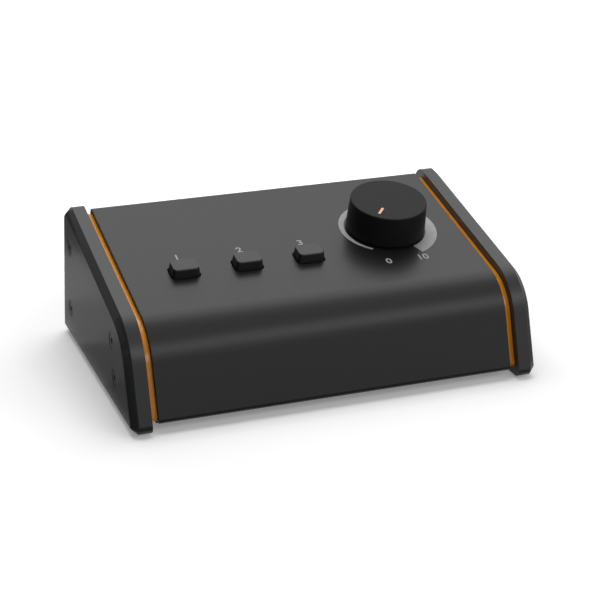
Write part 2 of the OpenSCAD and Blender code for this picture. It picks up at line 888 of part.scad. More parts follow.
socket_flange_t = 2;
barrel_r = 11.8;
barrel_deep = 20;
input_bore_r = 9.6;
output_bore_r = 9.6;
output_mouth_r = 9.9;
output_mouth = 3;
insert_r = 7.9;
jack_bore_r = 3.25;
jack_bore_l = 18;
contact_circle_r = 5.7;
contact_hole_r = 1.35;
pin_circle_r = 4.7;
pin_r = 1.2;
rear_board_w = -24;

module at_socket(i, w = 0) {
    on_rear(socket_xs[i], socket_u, w) children();
}

// A flanged socket shell with a round bore, open at the back for its insert
module socket_shell(bore_r) {
    difference() {
        union() {
            linear_extrude(socket_flange_t) rounded_rectangle(flange_w, flange_h, 3.5);
            translate([0, 0, -barrel_deep]) cylinder(barrel_deep + eps, r = barrel_r);
        }
        translate([0, 0, -barrel_deep - 1]) cylinder(barrel_deep + 6, r = bore_r);
        for (s = [-1, 1]) translate([s * flange_screw_x, s * flange_screw_u, 0]) {
            translate([0, 0, -1]) cylinder(8, r = 1.7);
            translate([0, 0, 0.6]) cylinder(1.42, 1.6, 3.1);
        }
    }
}

module input_socket(i) {
    color("#222223") at_socket(i) socket_shell(input_bore_r);
}

module input_insert(i) {
    color("#33353a") at_socket(i) difference() {
        union() {
            translate([0, 0, -barrel_deep]) cylinder(barrel_deep + 0.6, r = insert_r);
            translate([0, 0, -barrel_deep]) cylinder(5, r = input_bore_r);
        }
        translate([0, 0, 0.6 - jack_bore_l]) cylinder(jack_bore_l + 1, r = jack_bore_r);
        for (a = [90, 210, 330]) rotate(a) translate([contact_circle_r, 0, -11])
            cylinder(14, r = contact_hole_r);
    }
}

module output_socket(i) {
    color("#222223") at_socket(i) difference() {
        union() {
            socket_shell(output_bore_r);
            translate([0, 0, -barrel_deep]) cylinder(6, r = output_bore_r + 0.5);
        }
        translate([0, 0, socket_flange_t - output_mouth])
            cylinder(output_mouth + 1, r = output_mouth_r);
        for (a = [30, 150, 270]) rotate(a) translate([pin_circle_r, 0, -barrel_deep - 1])
            cylinder(8, r = pin_r);
    }
}

module input_socket_1() {
    input_socket(0);
}

module input_socket_2() {
    input_socket(1);
}

module input_insert_1() {
    input_insert(0);
}

module input_insert_2() {
    input_insert(1);
}

module output_socket_1() {
    output_socket(2);
}

module output_socket_2() {
    output_socket(3);
}

module input_pins() {
    color("#d6d6d6") for (i = [0, 1], a = [0:60:300]) at_socket(i) rotate(a)
        translate([contact_circle_r, 0, rear_board_w])
            cylinder(-barrel_deep - rear_board_w, r = 0.5);
}

module output_pins() {
    pin_top = socket_flange_t - output_mouth - 0.5;
    color("#cfd0d2") for (i = [2, 3], a = [30, 150, 270]) at_socket(i) rotate(a)
        translate([pin_circle_r, 0, 0]) {
            translate([0, 0, rear_board_w]) cylinder(pin_top - 0.8 - rear_board_w, r = pin_r);
            translate([0, 0, pin_top - 0.8 - eps]) cylinder(0.8 + eps, pin_r, pin_r - 0.5);
        }
}

module socket_screws() {
    color("#3a3a3c") for (i = [0:3], s = [-1, 1])
        at_socket(i) translate([s * flange_screw_x, s * flange_screw_u, socket_flange_t])
            rotate([180, 0, 0]) countersunk_screw(1.5, 2.9, 1.3, 8, 1.1, 1);
}

module mini_jack() {
    color("#222223") on_rear(mini_jack_x, jack_u, 0) difference() {
        union() {
            translate([-6, -6, -sheet_t - 14]) cube([12, 12, 14]);
            translate([0, 0, -sheet_t - eps]) cylinder(sheet_t + 2.6 + eps, r = jack_thread_r);
        }
        translate([0, 0, -sheet_t - 12]) cylinder(30, r = 1.8);
    }
}

module mini_jack_nut() {
    color("#b9bcc0") on_rear(mini_jack_x, jack_u, 0) difference() {
        cylinder(1.8, r = 4.4);
        translate([0, 0, -1]) cylinder(4, r = jack_thread_r + thread_gap);
        for (a = [0, 90]) rotate(a) translate([-5, -0.5, 1]) cube([10, 1, 2]);
    }
}

rear_board_size = [136, 36];

module rear_board() {
    color("#1f5a3a") on_rear(0, socket_u, rear_board_w - board_t)
        translate([-rear_board_size[0] / 2, -rear_board_size[1] / 2, 0])
            cube([rear_board_size[0], rear_board_size[1], board_t]);
}

// ---- ribbon cables -----------------------------------------------------------------

ribbon_t = 1;
ribbon_w = 16;
header_h = 5;
header_d = 5;
ribbon_steps = 14;
switch_ribbon_x = -24;
volume_ribbon_x = knob_x;
switch_header_v = button_v + 11;
volume_header_v = knob_v - 8;
switch_header_u = 22;
volume_header_u = 16;

// A smooth curve that leaves a in direction da and reaches b from direction db
function curve_point(a, da, b, db, t) =
    a * pow(1 - t, 3) + 3 * (a + da) * pow(1 - t, 2) * t
    + 3 * (b + db) * (1 - t) * pow(t, 2) + b * pow(t, 3);
function curve_slope(a, da, b, db, t) =
    3 * da * pow(1 - t, 2) + 6 * (b + db - a - da) * (1 - t) * t - 3 * db * pow(t, 2);

module ribbon(x, a, da, b, db) {
    side = [for (i = [0:ribbon_steps])
        let (t = i / ribbon_steps, d = unit(curve_slope(a, da, b, db, t)))
        [curve_point(a, da, b, db, t), [-d[1], d[0]] * ribbon_t / 2]];
    color("#9a9da3") along_x(x - ribbon_w / 2, ribbon_w)
        polygon([
            for (p = side) p[0] + p[1],
            for (i = [ribbon_steps:-1:0]) side[i][0] - side[i][1]
        ]);
}

module switch_ribbon() {
    ribbon(switch_ribbon_x,
        slope_point(switch_header_v, board_w - board_t - header_h), 12 * in_top,
        rear_point(switch_header_u, rear_board_w - board_t - header_h), 16 * in_back);
}

module volume_ribbon() {
    ribbon(volume_ribbon_x,
        slope_point(volume_header_v, volume_board_w - board_t - header_h), 9 * in_top,
        rear_point(volume_header_u, rear_board_w - board_t - header_h), 9 * in_back);
}

module ribbon_headers() {
    size = [ribbon_w + 3, header_d, header_h];
    color("#202022") {
        on_slope(switch_ribbon_x, switch_header_v, board_w - board_t - header_h)
            translate([-size[0] / 2, -header_d / 2, 0]) cube(size);
        on_slope(volume_ribbon_x, volume_header_v, volume_board_w - board_t - header_h)
            translate([-size[0] / 2, -header_d / 2, 0]) cube(size);
        on_rear(switch_ribbon_x, switch_header_u, rear_board_w - board_t - header_h)
            translate([-size[0] / 2, -header_d / 2, 0]) cube(size);
        on_rear(volume_ribbon_x, volume_header_u, rear_board_w - board_t - header_h)
            translate([-size[0] / 2, -header_d / 2, 0]) cube(size);
    }
}

// ---- what is drawn -----------------------------------------------------------------

base_pan();
top_cover();
rear_panel();
left_side_plate();
right_side_plate();
left_trim_plate();
right_trim_plate();
left_cheek();
right_cheek();
cheek_screws();
side_plate_nuts();
base_screws();
rear_screws();
panel_nuts();
foot_front_left();
foot_front_right();
foot_rear_left();
foot_rear_right();
knob_shell();
knob_core();
knob_indicator();
pot_shaft();
pot_wipers();
pot_bushing();
pot_housing();
pot_washer();
pot_nut();
pot_terminals();
button_cap_1();
button_cap_2();
button_cap_3();
switch_plunger_1();
switch_plunger_2();
switch_plunger_3();
switch_spring_1();
switch_spring_2();
switch_spring_3();
switch_body_1();
switch_body_2();
switch_body_3();
switch_pins();
switch_board();
board_standoffs();
board_screws();
volume_board();
rear_board();
switch_ribbon();
volume_ribbon();
ribbon_headers();
input_socket_1();
input_socket_2();
input_insert_1();
input_insert_2();
input_pins();
output_socket_1();
output_socket_2();
output_pins();
socket_screws();
mini_jack();
mini_jack_nut();
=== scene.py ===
"""Looks of a desktop studio monitor controller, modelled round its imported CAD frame.

A wedge-shaped sheet-metal box stands between two thick cheeks, with amber plates between
them, a large volume knob, three push buttons and audio sockets at the back. X runs to the
right, Y to the back and Z up. Sizes are given in millimetres and the meshes are in metres.
"""

import functools
import json
import math

import bmesh
import bpy
from mathutils import Matrix, Vector


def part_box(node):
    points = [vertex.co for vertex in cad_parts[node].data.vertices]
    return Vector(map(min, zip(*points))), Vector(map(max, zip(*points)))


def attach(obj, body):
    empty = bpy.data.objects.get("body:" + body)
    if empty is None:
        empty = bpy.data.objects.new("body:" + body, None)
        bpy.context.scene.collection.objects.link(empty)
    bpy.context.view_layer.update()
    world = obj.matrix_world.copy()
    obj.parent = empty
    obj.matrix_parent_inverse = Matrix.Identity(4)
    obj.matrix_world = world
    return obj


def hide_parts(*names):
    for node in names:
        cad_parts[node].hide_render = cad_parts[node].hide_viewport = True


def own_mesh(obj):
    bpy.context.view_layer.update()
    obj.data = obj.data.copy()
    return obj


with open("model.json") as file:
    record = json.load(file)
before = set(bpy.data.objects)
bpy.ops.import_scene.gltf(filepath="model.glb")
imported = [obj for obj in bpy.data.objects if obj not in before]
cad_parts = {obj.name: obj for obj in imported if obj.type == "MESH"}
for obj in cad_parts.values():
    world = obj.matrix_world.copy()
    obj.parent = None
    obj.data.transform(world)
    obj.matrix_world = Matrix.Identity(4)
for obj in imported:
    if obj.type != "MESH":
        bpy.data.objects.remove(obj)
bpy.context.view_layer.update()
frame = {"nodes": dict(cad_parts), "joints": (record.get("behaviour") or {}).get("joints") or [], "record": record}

bl_info = {
    "name": "Monitor controller",
    "version": (1, 0, 0),
    "blender": (4, 5, 0),
    "location": "3D View > Sidebar > Controller",
    "description": "Models the visible pieces of a desktop monitor controller",
    "category": "Add Mesh",
}

MM = 0.001

# ---- places, read from the frame ----------------------------------------------------


def joint(name):
    """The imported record's joint of that name."""
    return next(j for j in frame["joints"] if j["name"] == name)


def mount(name):
    """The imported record's mount of that name."""
    return next(m for m in frame["record"]["mounts"] if m["name"] == name)


def plane_matrix(origin, normal):
    """A place whose Z is the normal and whose X is level; its Y then runs up the plane."""
    z = Vector(normal).normalized()
    x = Vector((0, 0, 1)).cross(z).normalized()
    turn = Matrix((x, z.cross(x), z)).transposed().to_4x4()
    return Matrix.Translation(Vector(origin)) @ turn


def shifted(place, x=0.0, y=0.0, z=0.0):
    """A place moved along its own axes by millimetres."""
    return place @ Matrix.Translation(Vector((x, y, z)) * MM)


def turned(place, degrees):
    """A place turned about its own Z."""
    return place @ Matrix.Rotation(math.radians(degrees), 4, "Z")


def nearest(place, point):
    """The place moved within its own plane to lie under a point."""
    inside = place.inverted() @ Vector(point)
    return place @ Matrix.Translation((inside.x, inside.y, 0))


def middle(node):
    """The middle of a CAD node's box."""
    low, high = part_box(node)
    return (low + high) / 2


def rear_foot():
    """The point of the rear panel's outer face on its lower edge, on the centre line."""
    low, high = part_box("rear_panel")
    return Vector((0, high.y, low.z))


KNOB = plane_matrix(joint("volume_turn")["pos_m"], [-a for a in joint("volume_turn")["axis"]])
BUTTONS = [nearest(KNOB, middle(f"switch_body_{n}")) for n in (1, 2, 3)]
REAR = plane_matrix(rear_foot(), mount("input_1_jack")["axis"])
INPUTS = [nearest(REAR, mount(f"input_{n}_jack")["pos_m"]) for n in (1, 2)]
OUTPUTS = [nearest(REAR, mount(f"output_{n}_mouth")["pos_m"]) for n in (1, 2)]

# ---- settings -----------------------------------------------------------------------


def length(name, value, description):
    """A length in millimetres."""
    return bpy.props.FloatProperty(name=name, description=description, default=value, min=0)


def degrees(name, value, description):
    """An angle in degrees."""
    return bpy.props.FloatProperty(name=name, description=description, default=value)


def hex_colour(name, value, description):
    """A colour written as sRGB hex."""
    return bpy.props.StringProperty(name=name, description=description, default=value)


class CasingSizes(bpy.types.PropertyGroup):
    """Sizes of the cheeks, the amber plates and the bent cover, in millimetres."""

    front_lean: degrees("Front lean", 17.3, "Lean of the front, back from upright")
    top_slope: degrees("Top slope", 13.57, "Rise of the top towards the back")
    back_lean: degrees("Back lean", 11.7, "Lean of the back, forward from upright")
    front_h: length("Front height", 40.6, "Height of a cheek's front edge up to the slope")
    cheek_depth: length("Cheek depth", 127.4, "Depth of a cheek between its corner lines")
    bend_r: length("Bend radius", 24, "Radius of the cheeks' large bend")
    corner_r: length("Corner radius", 3.5, "Radius of a cheek's lower corners")
    top_back_r: length("Top back radius", 7.5, "Radius of a cheek's top back corner")
    chamfer: length("Chamfer", 2.9, "Width of the chamfer round a cheek")
    proud: length("Cheek proud", 1.45, "How far the cheeks stand above the box")
    groove: length("Groove depth", 2, "How deep the amber edge lies below the box")
    overhang: length("Back overhang", 3.4, "How far the cheeks reach past the box")
    cover_back_r: length("Cover back radius", 4, "Bend at the back of the cover")
    cover_foot_r: length("Cover foot radius", 1.8, "Bend at the foot of the cover")
    flange: length("Cover flange", 13.2, "Width of the cover's flange under the front")
    lip: length("Cover lip", 12, "Height of the cover's lip over the rear panel")
    sheet: length("Sheet", 1.5, "Thickness of the sheet steel")


class ControlSizes(bpy.types.PropertyGroup):
    """Sizes of the knob, the buttons and the print round them, in millimetres."""

    knob_base_d: length("Knob base", 35.6, "Diameter of the knob at its foot")
    knob_top_d: length("Knob top", 34, "Diameter of the knob at its top")
    knob_h: length("Knob height", 14.8, "Height of the knob's top above the panel")
    knob_gap: length("Knob gap", 0.8, "Gap between the knob and the panel")
    knob_edge: length("Knob edge", 0.5, "Radius of the knob's top edge")
    line_turn: degrees("Line angle", -130, "Angle of the line on the knob at rest")
    ring_radius: length("Ring radius", 19.4, "Radius on which the printed ring is drawn")
    ring_start_in: length("Ring start, in", 0.6, "Reach inwards of the ring at minimum")
    ring_start_out: length("Ring start, out", 0.6, "Reach outwards of the ring at minimum")
    ring_end_in: length("Ring end, in", 1.4, "Reach inwards of the ring at maximum")
    ring_end_out: length("Ring end, out", 4.5, "Reach outwards of the ring at maximum")
    ring_turn: degrees("Ring start angle", -128, "Angle at which the printed ring starts")
    ring_sweep: degrees("Ring sweep", 300, "Sweep of the printed ring, clockwise")
    button_w: length("Button width", 12.4, "Width of a button at the panel")
    button_d: length("Button depth", 9.3, "Depth of a button at the panel")
    button_h: length("Button height", 4.1, "Height of a button above the panel")
    digit_h: length("Digit height", 3.8, "Height of the printed digits")


class Finishes(bpy.types.PropertyGroup):
    """Colours of the finishes, as sRGB hex."""

    powder: hex_colour("Powder coat", "#181819", "Cover, rear panel, side plates and base pan")
    anodised: hex_colour("Anodised", "#1e1f21", "Cheeks")
    amber: hex_colour("Amber acrylic", "#cc800c", "Plates between cheeks and box")
    soft_touch: hex_colour("Soft touch", "#0b0b0b", "Volume knob")
    button: hex_colour("Button plastic", "#070707", "Push buttons")
    ink: hex_colour("Ink", "#9c9c9c", "Ring and digits on the panel")
    line: hex_colour("Indicator", "#f4a56c", "Line on the knob")
    rubber: hex_colour("Rubber", "#1c1c1c", "Feet")
    nylon: hex_colour("Socket nylon", "#1f1f20", "Sockets at the back")


GROUPS = {"casing_sizes": CasingSizes, "control_sizes": ControlSizes, "finishes": Finishes}


def casing():
    """The casing's sizes."""
    return bpy.context.scene.casing_sizes


def controls():
    """The controls' sizes."""
    return bpy.context.scene.control_sizes


def colours():
    """The finishes' colours."""
    return bpy.context.scene.finishes


# ---- modelling by hand --------------------------------------------------------------


def object_mode():
    """Leaves edit mode, if it is on."""
    if bpy.context.mode != "OBJECT":
        bpy.ops.object.mode_set(mode="OBJECT")


def only(*pieces):
    """Selects these objects alone, the first of them active."""
    object_mode()
    bpy.ops.object.select_all(action="DESELECT")
    for piece in pieces:
        piece.select_set(True)
    bpy.context.view_layer.objects.active = pieces[0]


def edit(piece, mode="FACE"):
    """Opens a piece in edit mode with everything selected."""
    only(piece)
    bpy.ops.object.mode_set(mode="EDIT")
    bpy.ops.mesh.select_mode(type=mode)
    bpy.ops.mesh.select_all(action="SELECT")


def pick(piece, mode, test):
    """In edit mode, selects the faces, edges or verts that pass a test, and no others."""
    bpy.ops.mesh.select_mode(type={"faces": "FACE", "edges": "EDGE", "verts": "VERT"}[mode])
    bpy.ops.mesh.select_all(action="DESELECT")
    shape = bmesh.from_edit_mesh(piece.data)
    for item in getattr(shape, mode):
        if test(item):
            item.select_set(True)
    shape.select_flush_mode()
    bmesh.update_edit_mesh(piece.data)


def facing(direction):
    """A test for faces that look along a direction."""
    along = Vector(direction).normalized()
    return lambda face: face.normal.dot(along) > 0.99


def level_edge(height):
    """A test for edges that lie at a height in millimetres."""
    return lambda edge: all(abs(v.co.z - height * MM) < 1e-6 for v in edge.verts)


def upright_edge(edge):
    """A test for edges that climb."""
    low, high = edge.verts
    return abs(low.co.z - high.co.z) > 0.5 * edge.calc_length()


def named(name):
    """Names the active object and its mesh."""
    piece = bpy.context.object
    piece.name = name
    piece.data.name = name
    return piece


def settle(piece):
    """Puts a piece's place, turn and size into its mesh."""
    only(piece)
    bpy.ops.object.transform_apply(location=True, rotation=True, scale=True)
    return piece


def add_block(name, size, at=(0, 0, 0)):
    """A block of that size in millimetres, its middle at a point."""
    object_mode()
    bpy.ops.mesh.primitive_cube_add(size=1, location=[c * MM for c in at])
    piece = named(name)
    piece.scale = [s * MM for s in size]
    return settle(piece)


def add_rod(name, radius, low, high, top_radius=None, sides=64):
    """A round bar or cone along Z, from one height to another, in millimetres."""
    object_mode()
    top = radius if top_radius is None else top_radius
    bpy.ops.mesh.primitive_cone_add(
        vertices=sides, radius1=radius * MM, radius2=top * MM, depth=(high - low) * MM,
        location=(0, 0, (low + high) / 2 * MM))
    return settle(named(name))


def extrude(x=0.0, y=0.0, z=0.0):
    """Extrudes the selection by millimetres."""
    move = {"value": (x * MM, y * MM, z * MM)}
    bpy.ops.mesh.extrude_region_move(TRANSFORM_OT_translate=move)


def inset(width, depth=0.0):
    """Insets the selected face by a width, and moves it out by a depth."""
    bpy.ops.mesh.inset(thickness=width * MM, depth=depth * MM)


def round_edges(radius, segments=6):
    """Rounds the selected edges in edit mode."""
    bpy.ops.mesh.bevel(offset=radius * MM, segments=segments, affect="EDGES")


def turn_outwards(piece):
    """Merges a piece's doubles and turns its faces outwards."""
    edit(piece)
    bpy.ops.mesh.remove_doubles(threshold=0.005 * MM)
    bpy.ops.mesh.normals_make_consistent(inside=False)
    object_mode()
    return piece


def put(piece, place):
    """Moves a finished mesh to its place in the object."""
    piece.matrix_world = place @ piece.matrix_world
    return settle(piece)


def finish(piece, kind, **settings):
    """Adds one modifier and applies it."""
    only(piece)
    modifier = piece.modifiers.new(kind.title(), kind)
    for key, value in settings.items():
        setattr(modifier, key, value)
    bpy.ops.object.modifier_apply(modifier=modifier.name)


def cut(piece, *cutters):
    """Takes the cutters' shapes out of a piece, and throws the cutters away."""
    for cutter in cutters:
        finish(piece, "BOOLEAN", operation="DIFFERENCE", solver="EXACT", object=cutter)
        bpy.data.objects.remove(cutter)
    return piece


def weld(piece, *others):
    """Makes one solid of several, and throws the others away."""
    for other in others:
        finish(piece, "BOOLEAN", operation="UNION", solver="EXACT", object=other)
        bpy.data.objects.remove(other)
    return piece


def join(name, pieces):
    """Makes one object of several separate solids."""
    only(*pieces)
    if len(pieces) > 1:
        bpy.ops.object.join()
    return named(name)


def twin(piece, name, place):
    """A copy with its own mesh, at a place."""
    copy = piece.copy()
    copy.data = piece.data.copy()
    bpy.context.scene.collection.objects.link(copy)
    copy.name = copy.data.name = name
    return put(copy, place)


def copies(piece, name, places):
    """Copies of a piece at several places, as one object; the first one is thrown away."""
    made = [twin(piece, f"{name}_{i}", place) for i, place in enumerate(places)]
    bpy.data.objects.remove(piece)
    return join(name, made)


def flipped(piece, name):
    """A copy on the other side of the object, its faces turned outwards again."""
    return turn_outwards(twin(piece, name, Matrix.Scale(-1, 4, (1, 0, 0))))


def soften(piece, width=0.2, segments=2, limit=30):
    """Breaks a piece's sharp edges and shades it so that its flat faces stay flat."""
    finish(piece, "BEVEL", width=width * MM, segments=segments, limit_method="ANGLE",
           angle_limit=math.radians(limit), use_clamp_overlap=True)
    only(piece)
    bpy.ops.object.shade_smooth_by_angle(angle=math.radians(40))
    finish(piece, "WEIGHTED_NORMAL", weight=50, keep_sharp=True)
    return piece


# ---- outlines drawn in the side view ------------------------------------------------

# Degrees of a drawn bend to one segment
BEND_STEP = 2.5


def crossing(p, d, q, e):
    """Where the line through p along d meets the line through q along e."""
    return p + d * ((q - p).cross(e) / d.cross(e))


def side_profile(front, top, back, bottom):
    """Front bottom, front top, top back and back bottom corner in the side view, each line
    moved in from the cheek's own outline, over a bottom at a height, all in mm."""
    s = casing()
    lean, rise, tail = (math.radians(a) for a in (s.front_lean, s.top_slope, s.back_lean))
    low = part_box("left_cheek")[0] / MM
    past = s.corner_r * (1 / math.tan((math.pi / 2 - lean) / 2) - 1)
    foot = Vector((low.y - past, low.z))
    tip = foot + Vector((s.front_h * math.tan(lean), s.front_h))
    heel = foot + Vector((s.cheek_depth, 0))
    along = [Vector((math.sin(lean), math.cos(lean))), Vector((math.cos(rise), math.sin(rise))),
             Vector((math.sin(tail), -math.cos(tail))), Vector((-1, 0))]
    inward = [Vector((d.y, -d.x)) for d in along]
    start = [foot + front * inward[0], tip + top * inward[1], heel + back * inward[2],
             Vector((0, bottom))]
    return [crossing(start[i - 1], along[i - 1], start[i], along[i]) for i in range(4)]


def bend_start(a, b, c, r):
    """Where the round bend of radius r at corner b, on the way from a to c, starts."""
    back, ahead = (a - b).normalized(), (c - b).normalized()
    return b + back * r / math.tan(math.acos(back.dot(ahead)) / 2)


def pen_down(name, point, x):
    """A mesh of one vertex in the side view at that x, left open for the pen."""
    object_mode()
    bpy.ops.mesh.primitive_plane_add(size=MM, location=(0, 0, 0))
    piece = named(name)
    edit(piece, "VERT")
    bpy.ops.mesh.merge(type="CENTER")
    bpy.ops.transform.translate(value=(x * MM, point.x * MM, point.y * MM))
    return piece


def pen_line(start, end):
    """Draws a straight line on from the pen's vertex."""
    move = (end - start) * MM
    bpy.ops.mesh.extrude_vertices_move(TRANSFORM_OT_translate={"value": (0, move.x, move.y)})


def pen_bend(a, b, c, r, x):
    """Draws the round bend at corner b, which turns clockwise, on from the pen's vertex."""
    back, ahead = (a - b).normalized(), (c - b).normalized()
    half = math.acos(back.dot(ahead)) / 2
    centre = b + (back + ahead).normalized() * r / math.sin(half)
    turn = math.pi - 2 * half
    bpy.ops.mesh.spin(
        steps=max(4, round(math.degrees(turn) / BEND_STEP)), angle=turn,
        center=(x * MM, centre.x * MM, centre.y * MM), axis=(1, 0, 0))


def round_plate(name, corners, radii, x, thickness):
    """A plate with a rounded outline in the side view, its near face at x."""
    bends = [(corners[i - 1], corners[i], corners[(i + 1) % 4], radii[i]) for i in range(4)]
    piece = pen_down(name, bend_start(*bends[0]), x)
    for i, (a, b, c, r) in enumerate(bends):
        pen_bend(a, b, c, r, x)
        pen_line(bend_start(c, b, a, r), bend_start(*bends[(i + 1) % 4]))
    bpy.ops.mesh.select_all(action="SELECT")
    bpy.ops.mesh.remove_doubles(threshold=0.005 * MM)
    bpy.ops.mesh.edge_face_add()
    extrude(x=thickness)
    return turn_outwards(piece)


# ---- materials ----------------------------------------------------------------------

# The grain of most of these skins is finer than the render can show, and is drawn at 0.25 to
# 0.6 mm, as coarse as it needs to be seen. That of the powder, the acrylic, the board and
# the flat cable has about its real size.


def srgb(text):
    """A colour written as sRGB hex, as linear red, green, blue and alpha."""
    parts = [int(text[i:i + 2], 16) / 255 for i in (1, 3, 5)]
    line = [c / 12.92 if c <= 0.04045 else ((c + 0.055) / 1.055) ** 2.4 for c in parts]
    return (*line, 1.0)


def scaled(colour, factor):
    """A linear colour made lighter or darker."""
    return (*(min(1.0, c * factor) for c in colour[:3]), 1.0)


def add(tree, kind, inputs=None, **settings):
    """Adds a node with its settings; an input is a value, or a socket to link from."""
    made = tree.nodes.new(kind)
    for key, value in settings.items():
        setattr(made, key, value)
    for key, value in (inputs or {}).items():
        if isinstance(value, bpy.types.NodeSocket):
            tree.links.new(value, made.inputs[key])
        else:
            made.inputs[key].default_value = value
    return made


def patterned(name, colour, rough, grain, height, drift=0.08, drift_size=25, spread=0.05,
              shader=None):
    """A material whose surface carries a grain of that size and height in mm, whose colour
    drifts by a share over a size in mm, and whose roughness varies by a spread. What is
    the same all over is set on the shader's own sockets."""
    material = bpy.data.materials.new(name)
    material.use_nodes = True
    tree = material.node_tree
    surface = tree.nodes["Principled BSDF"]
    for socket, value in (shader or {}).items():
        surface.inputs[socket].default_value = value
    place = add(tree, "ShaderNodeTexCoord").outputs["Object"]
    cloud = add(tree, "ShaderNodeTexNoise", {
        "Vector": place, "Scale": 1 / (drift_size * MM), "Detail": 3.0, "Roughness": 0.6})
    fine = add(tree, "ShaderNodeTexNoise", {
        "Vector": place, "Scale": 1 / (grain * MM), "Detail": 2.0, "Roughness": 0.55})
    tone = add(tree, "ShaderNodeMix", {
        0: cloud.outputs["Fac"], 6: scaled(colour, 1 - 2 * drift),
        7: scaled(colour, 1 + 2 * drift)}, data_type="RGBA")
    polish = add(tree, "ShaderNodeMapRange", {
        "Value": fine.outputs["Fac"], "From Min": 0.3, "From Max": 0.7,
        "To Min": rough - spread, "To Max": rough + spread})
    bump = add(tree, "ShaderNodeBump", {"Height": fine.outputs["Fac"], "Distance": height * MM})
    tree.links.new(tone.outputs[2], surface.inputs["Base Color"])
    tree.links.new(polish.outputs["Result"], surface.inputs["Roughness"])
    tree.links.new(bump.outputs["Normal"], surface.inputs["Normal"])
    return material


@functools.cache
def powder_coated_steel():
    """Baked matt powder: a slightly pebbled film that spreads highlights softly."""
    return patterned("powder_coated_steel", srgb(colours().powder), rough=0.33, grain=0.7,
                     height=0.008, drift=0.03, shader={"Specular IOR Level": 0.28})


@functools.cache
def anodised_aluminium():
    """Bead-blasted and dyed black: finer and silkier than the powder, and a touch bluish."""
    return patterned("black_anodised_aluminium", srgb(colours().anodised), rough=0.33,
                     grain=0.35, height=0.005, drift=0.04,
                     shader={"Specular IOR Level": 0.35})


@functools.cache
def amber_acrylic():
    """Cast acrylic with flame-polished edges: it glows where light gets in."""
    return patterned("amber_cast_acrylic", srgb(colours().amber), rough=0.18, grain=2.5,
                     height=0.01, drift=0.1, drift_size=9, spread=0.04, shader={
                         "Specular IOR Level": 0.25, "Subsurface Weight": 0.3,
                         "Subsurface Scale": 2 * MM, "Subsurface Radius": (1.0, 0.5, 0.2),
                         "Coat Weight": 0.4, "Coat Roughness": 0.04})


@functools.cache
def soft_touch_abs():
    """Moulded ABS under a soft-touch lacquer: dull, with a faint velvety lift."""
    return patterned("soft_touch_lacquered_abs", srgb(colours().soft_touch), rough=0.55,
                     grain=0.3, height=0.006, drift=0.05, shader={
                         "Specular IOR Level": 0.16, "Sheen Weight": 0.01,
                         "Sheen Roughness": 0.5})


@functools.cache
def moulded_abs():
    """Black ABS from a spark-eroded mould: a fine even grain, half dull."""
    return patterned("moulded_black_abs", srgb(colours().button), rough=0.42, grain=0.35,
                     height=0.01, drift=0.04, shader={"Specular IOR Level": 0.45})


@functools.cache
def screen_ink():
    """Screen-printed grey ink: flat and opaque, a little thin in places."""
    return patterned("screen_printed_grey_ink", srgb(colours().ink), rough=0.6, grain=0.4,
                     height=0.004, drift=0.06, drift_size=5)


@functools.cache
def line_lacquer():
    """Orange lacquer filled into the knob's groove, pale and smooth."""
    return patterned("orange_fill_lacquer", srgb(colours().line), rough=0.3, grain=0.6,
                     height=0.004, drift=0.08, drift_size=3, shader={"Coat Weight": 0.3})


@functools.cache
def black_oxide_steel():
    """Blackened steel: a thin dark oxide over turned metal."""
    return patterned("black_oxide_steel", srgb("#3c3c3e"), rough=0.38, grain=0.4,
                     height=0.006, drift=0.1, drift_size=2, shader={"Metallic": 0.8})


@functools.cache
def foot_rubber():
    """Moulded rubber: dull and dusty."""
    return patterned("moulded_black_rubber", srgb(colours().rubber), rough=0.75, grain=0.5,
                     height=0.02, drift=0.1, drift_size=6)


@functools.cache
def socket_nylon():
    """Glass-filled nylon: dark, with a slightly cloudy skin."""
    return patterned("glass_filled_black_nylon", srgb(colours().nylon), rough=0.45,
                     grain=0.5, height=0.01, drift=0.08, drift_size=6)


@functools.cache
def zinc_plate():
    """Bright zinc on sheet steel: pale, with a faint grain."""
    return patterned("zinc_plated_steel", srgb("#b4b8bc"), rough=0.32, grain=0.6,
                     height=0.006, drift=0.05, shader={"Metallic": 1.0})


@functools.cache
def tinned_copper():
    """Tinned contact metal: bright and slightly uneven."""
    return patterned("tinned_copper_alloy", srgb("#cfd0d0"), rough=0.25, grain=0.4,
                     height=0.005, drift=0.05, drift_size=3, shader={"Metallic": 1.0})


@functools.cache
def turned_aluminium():
    """Turned aluminium: pale, with a faint grain from the tool."""
    return patterned("turned_aluminium", srgb("#c6c8ca"), rough=0.3, grain=0.25,
                     height=0.008, drift=0.04, drift_size=4, shader={"Metallic": 1.0})


@functools.cache
def turned_brass():
    """Plain turned brass, lightly tarnished."""
    return patterned("turned_brass", srgb("#b8954a"), rough=0.3, grain=0.3, height=0.008,
                     drift=0.1, drift_size=4, shader={"Metallic": 1.0})


@functools.cache
def spring_steel():
    """Drawn spring wire: bright grey."""
    return patterned("drawn_spring_steel", srgb("#aeb1b4"), rough=0.25, grain=0.3,
                     height=0.004, drift=0.05, drift_size=3, shader={"Metallic": 1.0})


@functools.cache
def natural_nylon():
    """Undyed nylon: milky, with light in its thin parts."""
    return patterned("natural_moulded_nylon", srgb("#d8d2bc"), rough=0.45, grain=0.6,
                     height=0.008, shader={"Subsurface Weight": 0.2, "Subsurface Scale": MM})


@functools.cache
def natural_acetal():
    """Undyed acetal: white, waxy and slippery."""
    return patterned("natural_acetal", srgb("#e4e1d8"), rough=0.35, grain=0.5,
                     height=0.005, shader={"Subsurface Weight": 0.2, "Subsurface Scale": MM})


@functools.cache
def phenolic_case():
    """Pressed phenolic: dark green, hard and faintly marbled."""
    return patterned("pressed_phenolic", srgb("#2a5a45"), rough=0.3, grain=0.5,
                     height=0.006, drift=0.2, drift_size=5)


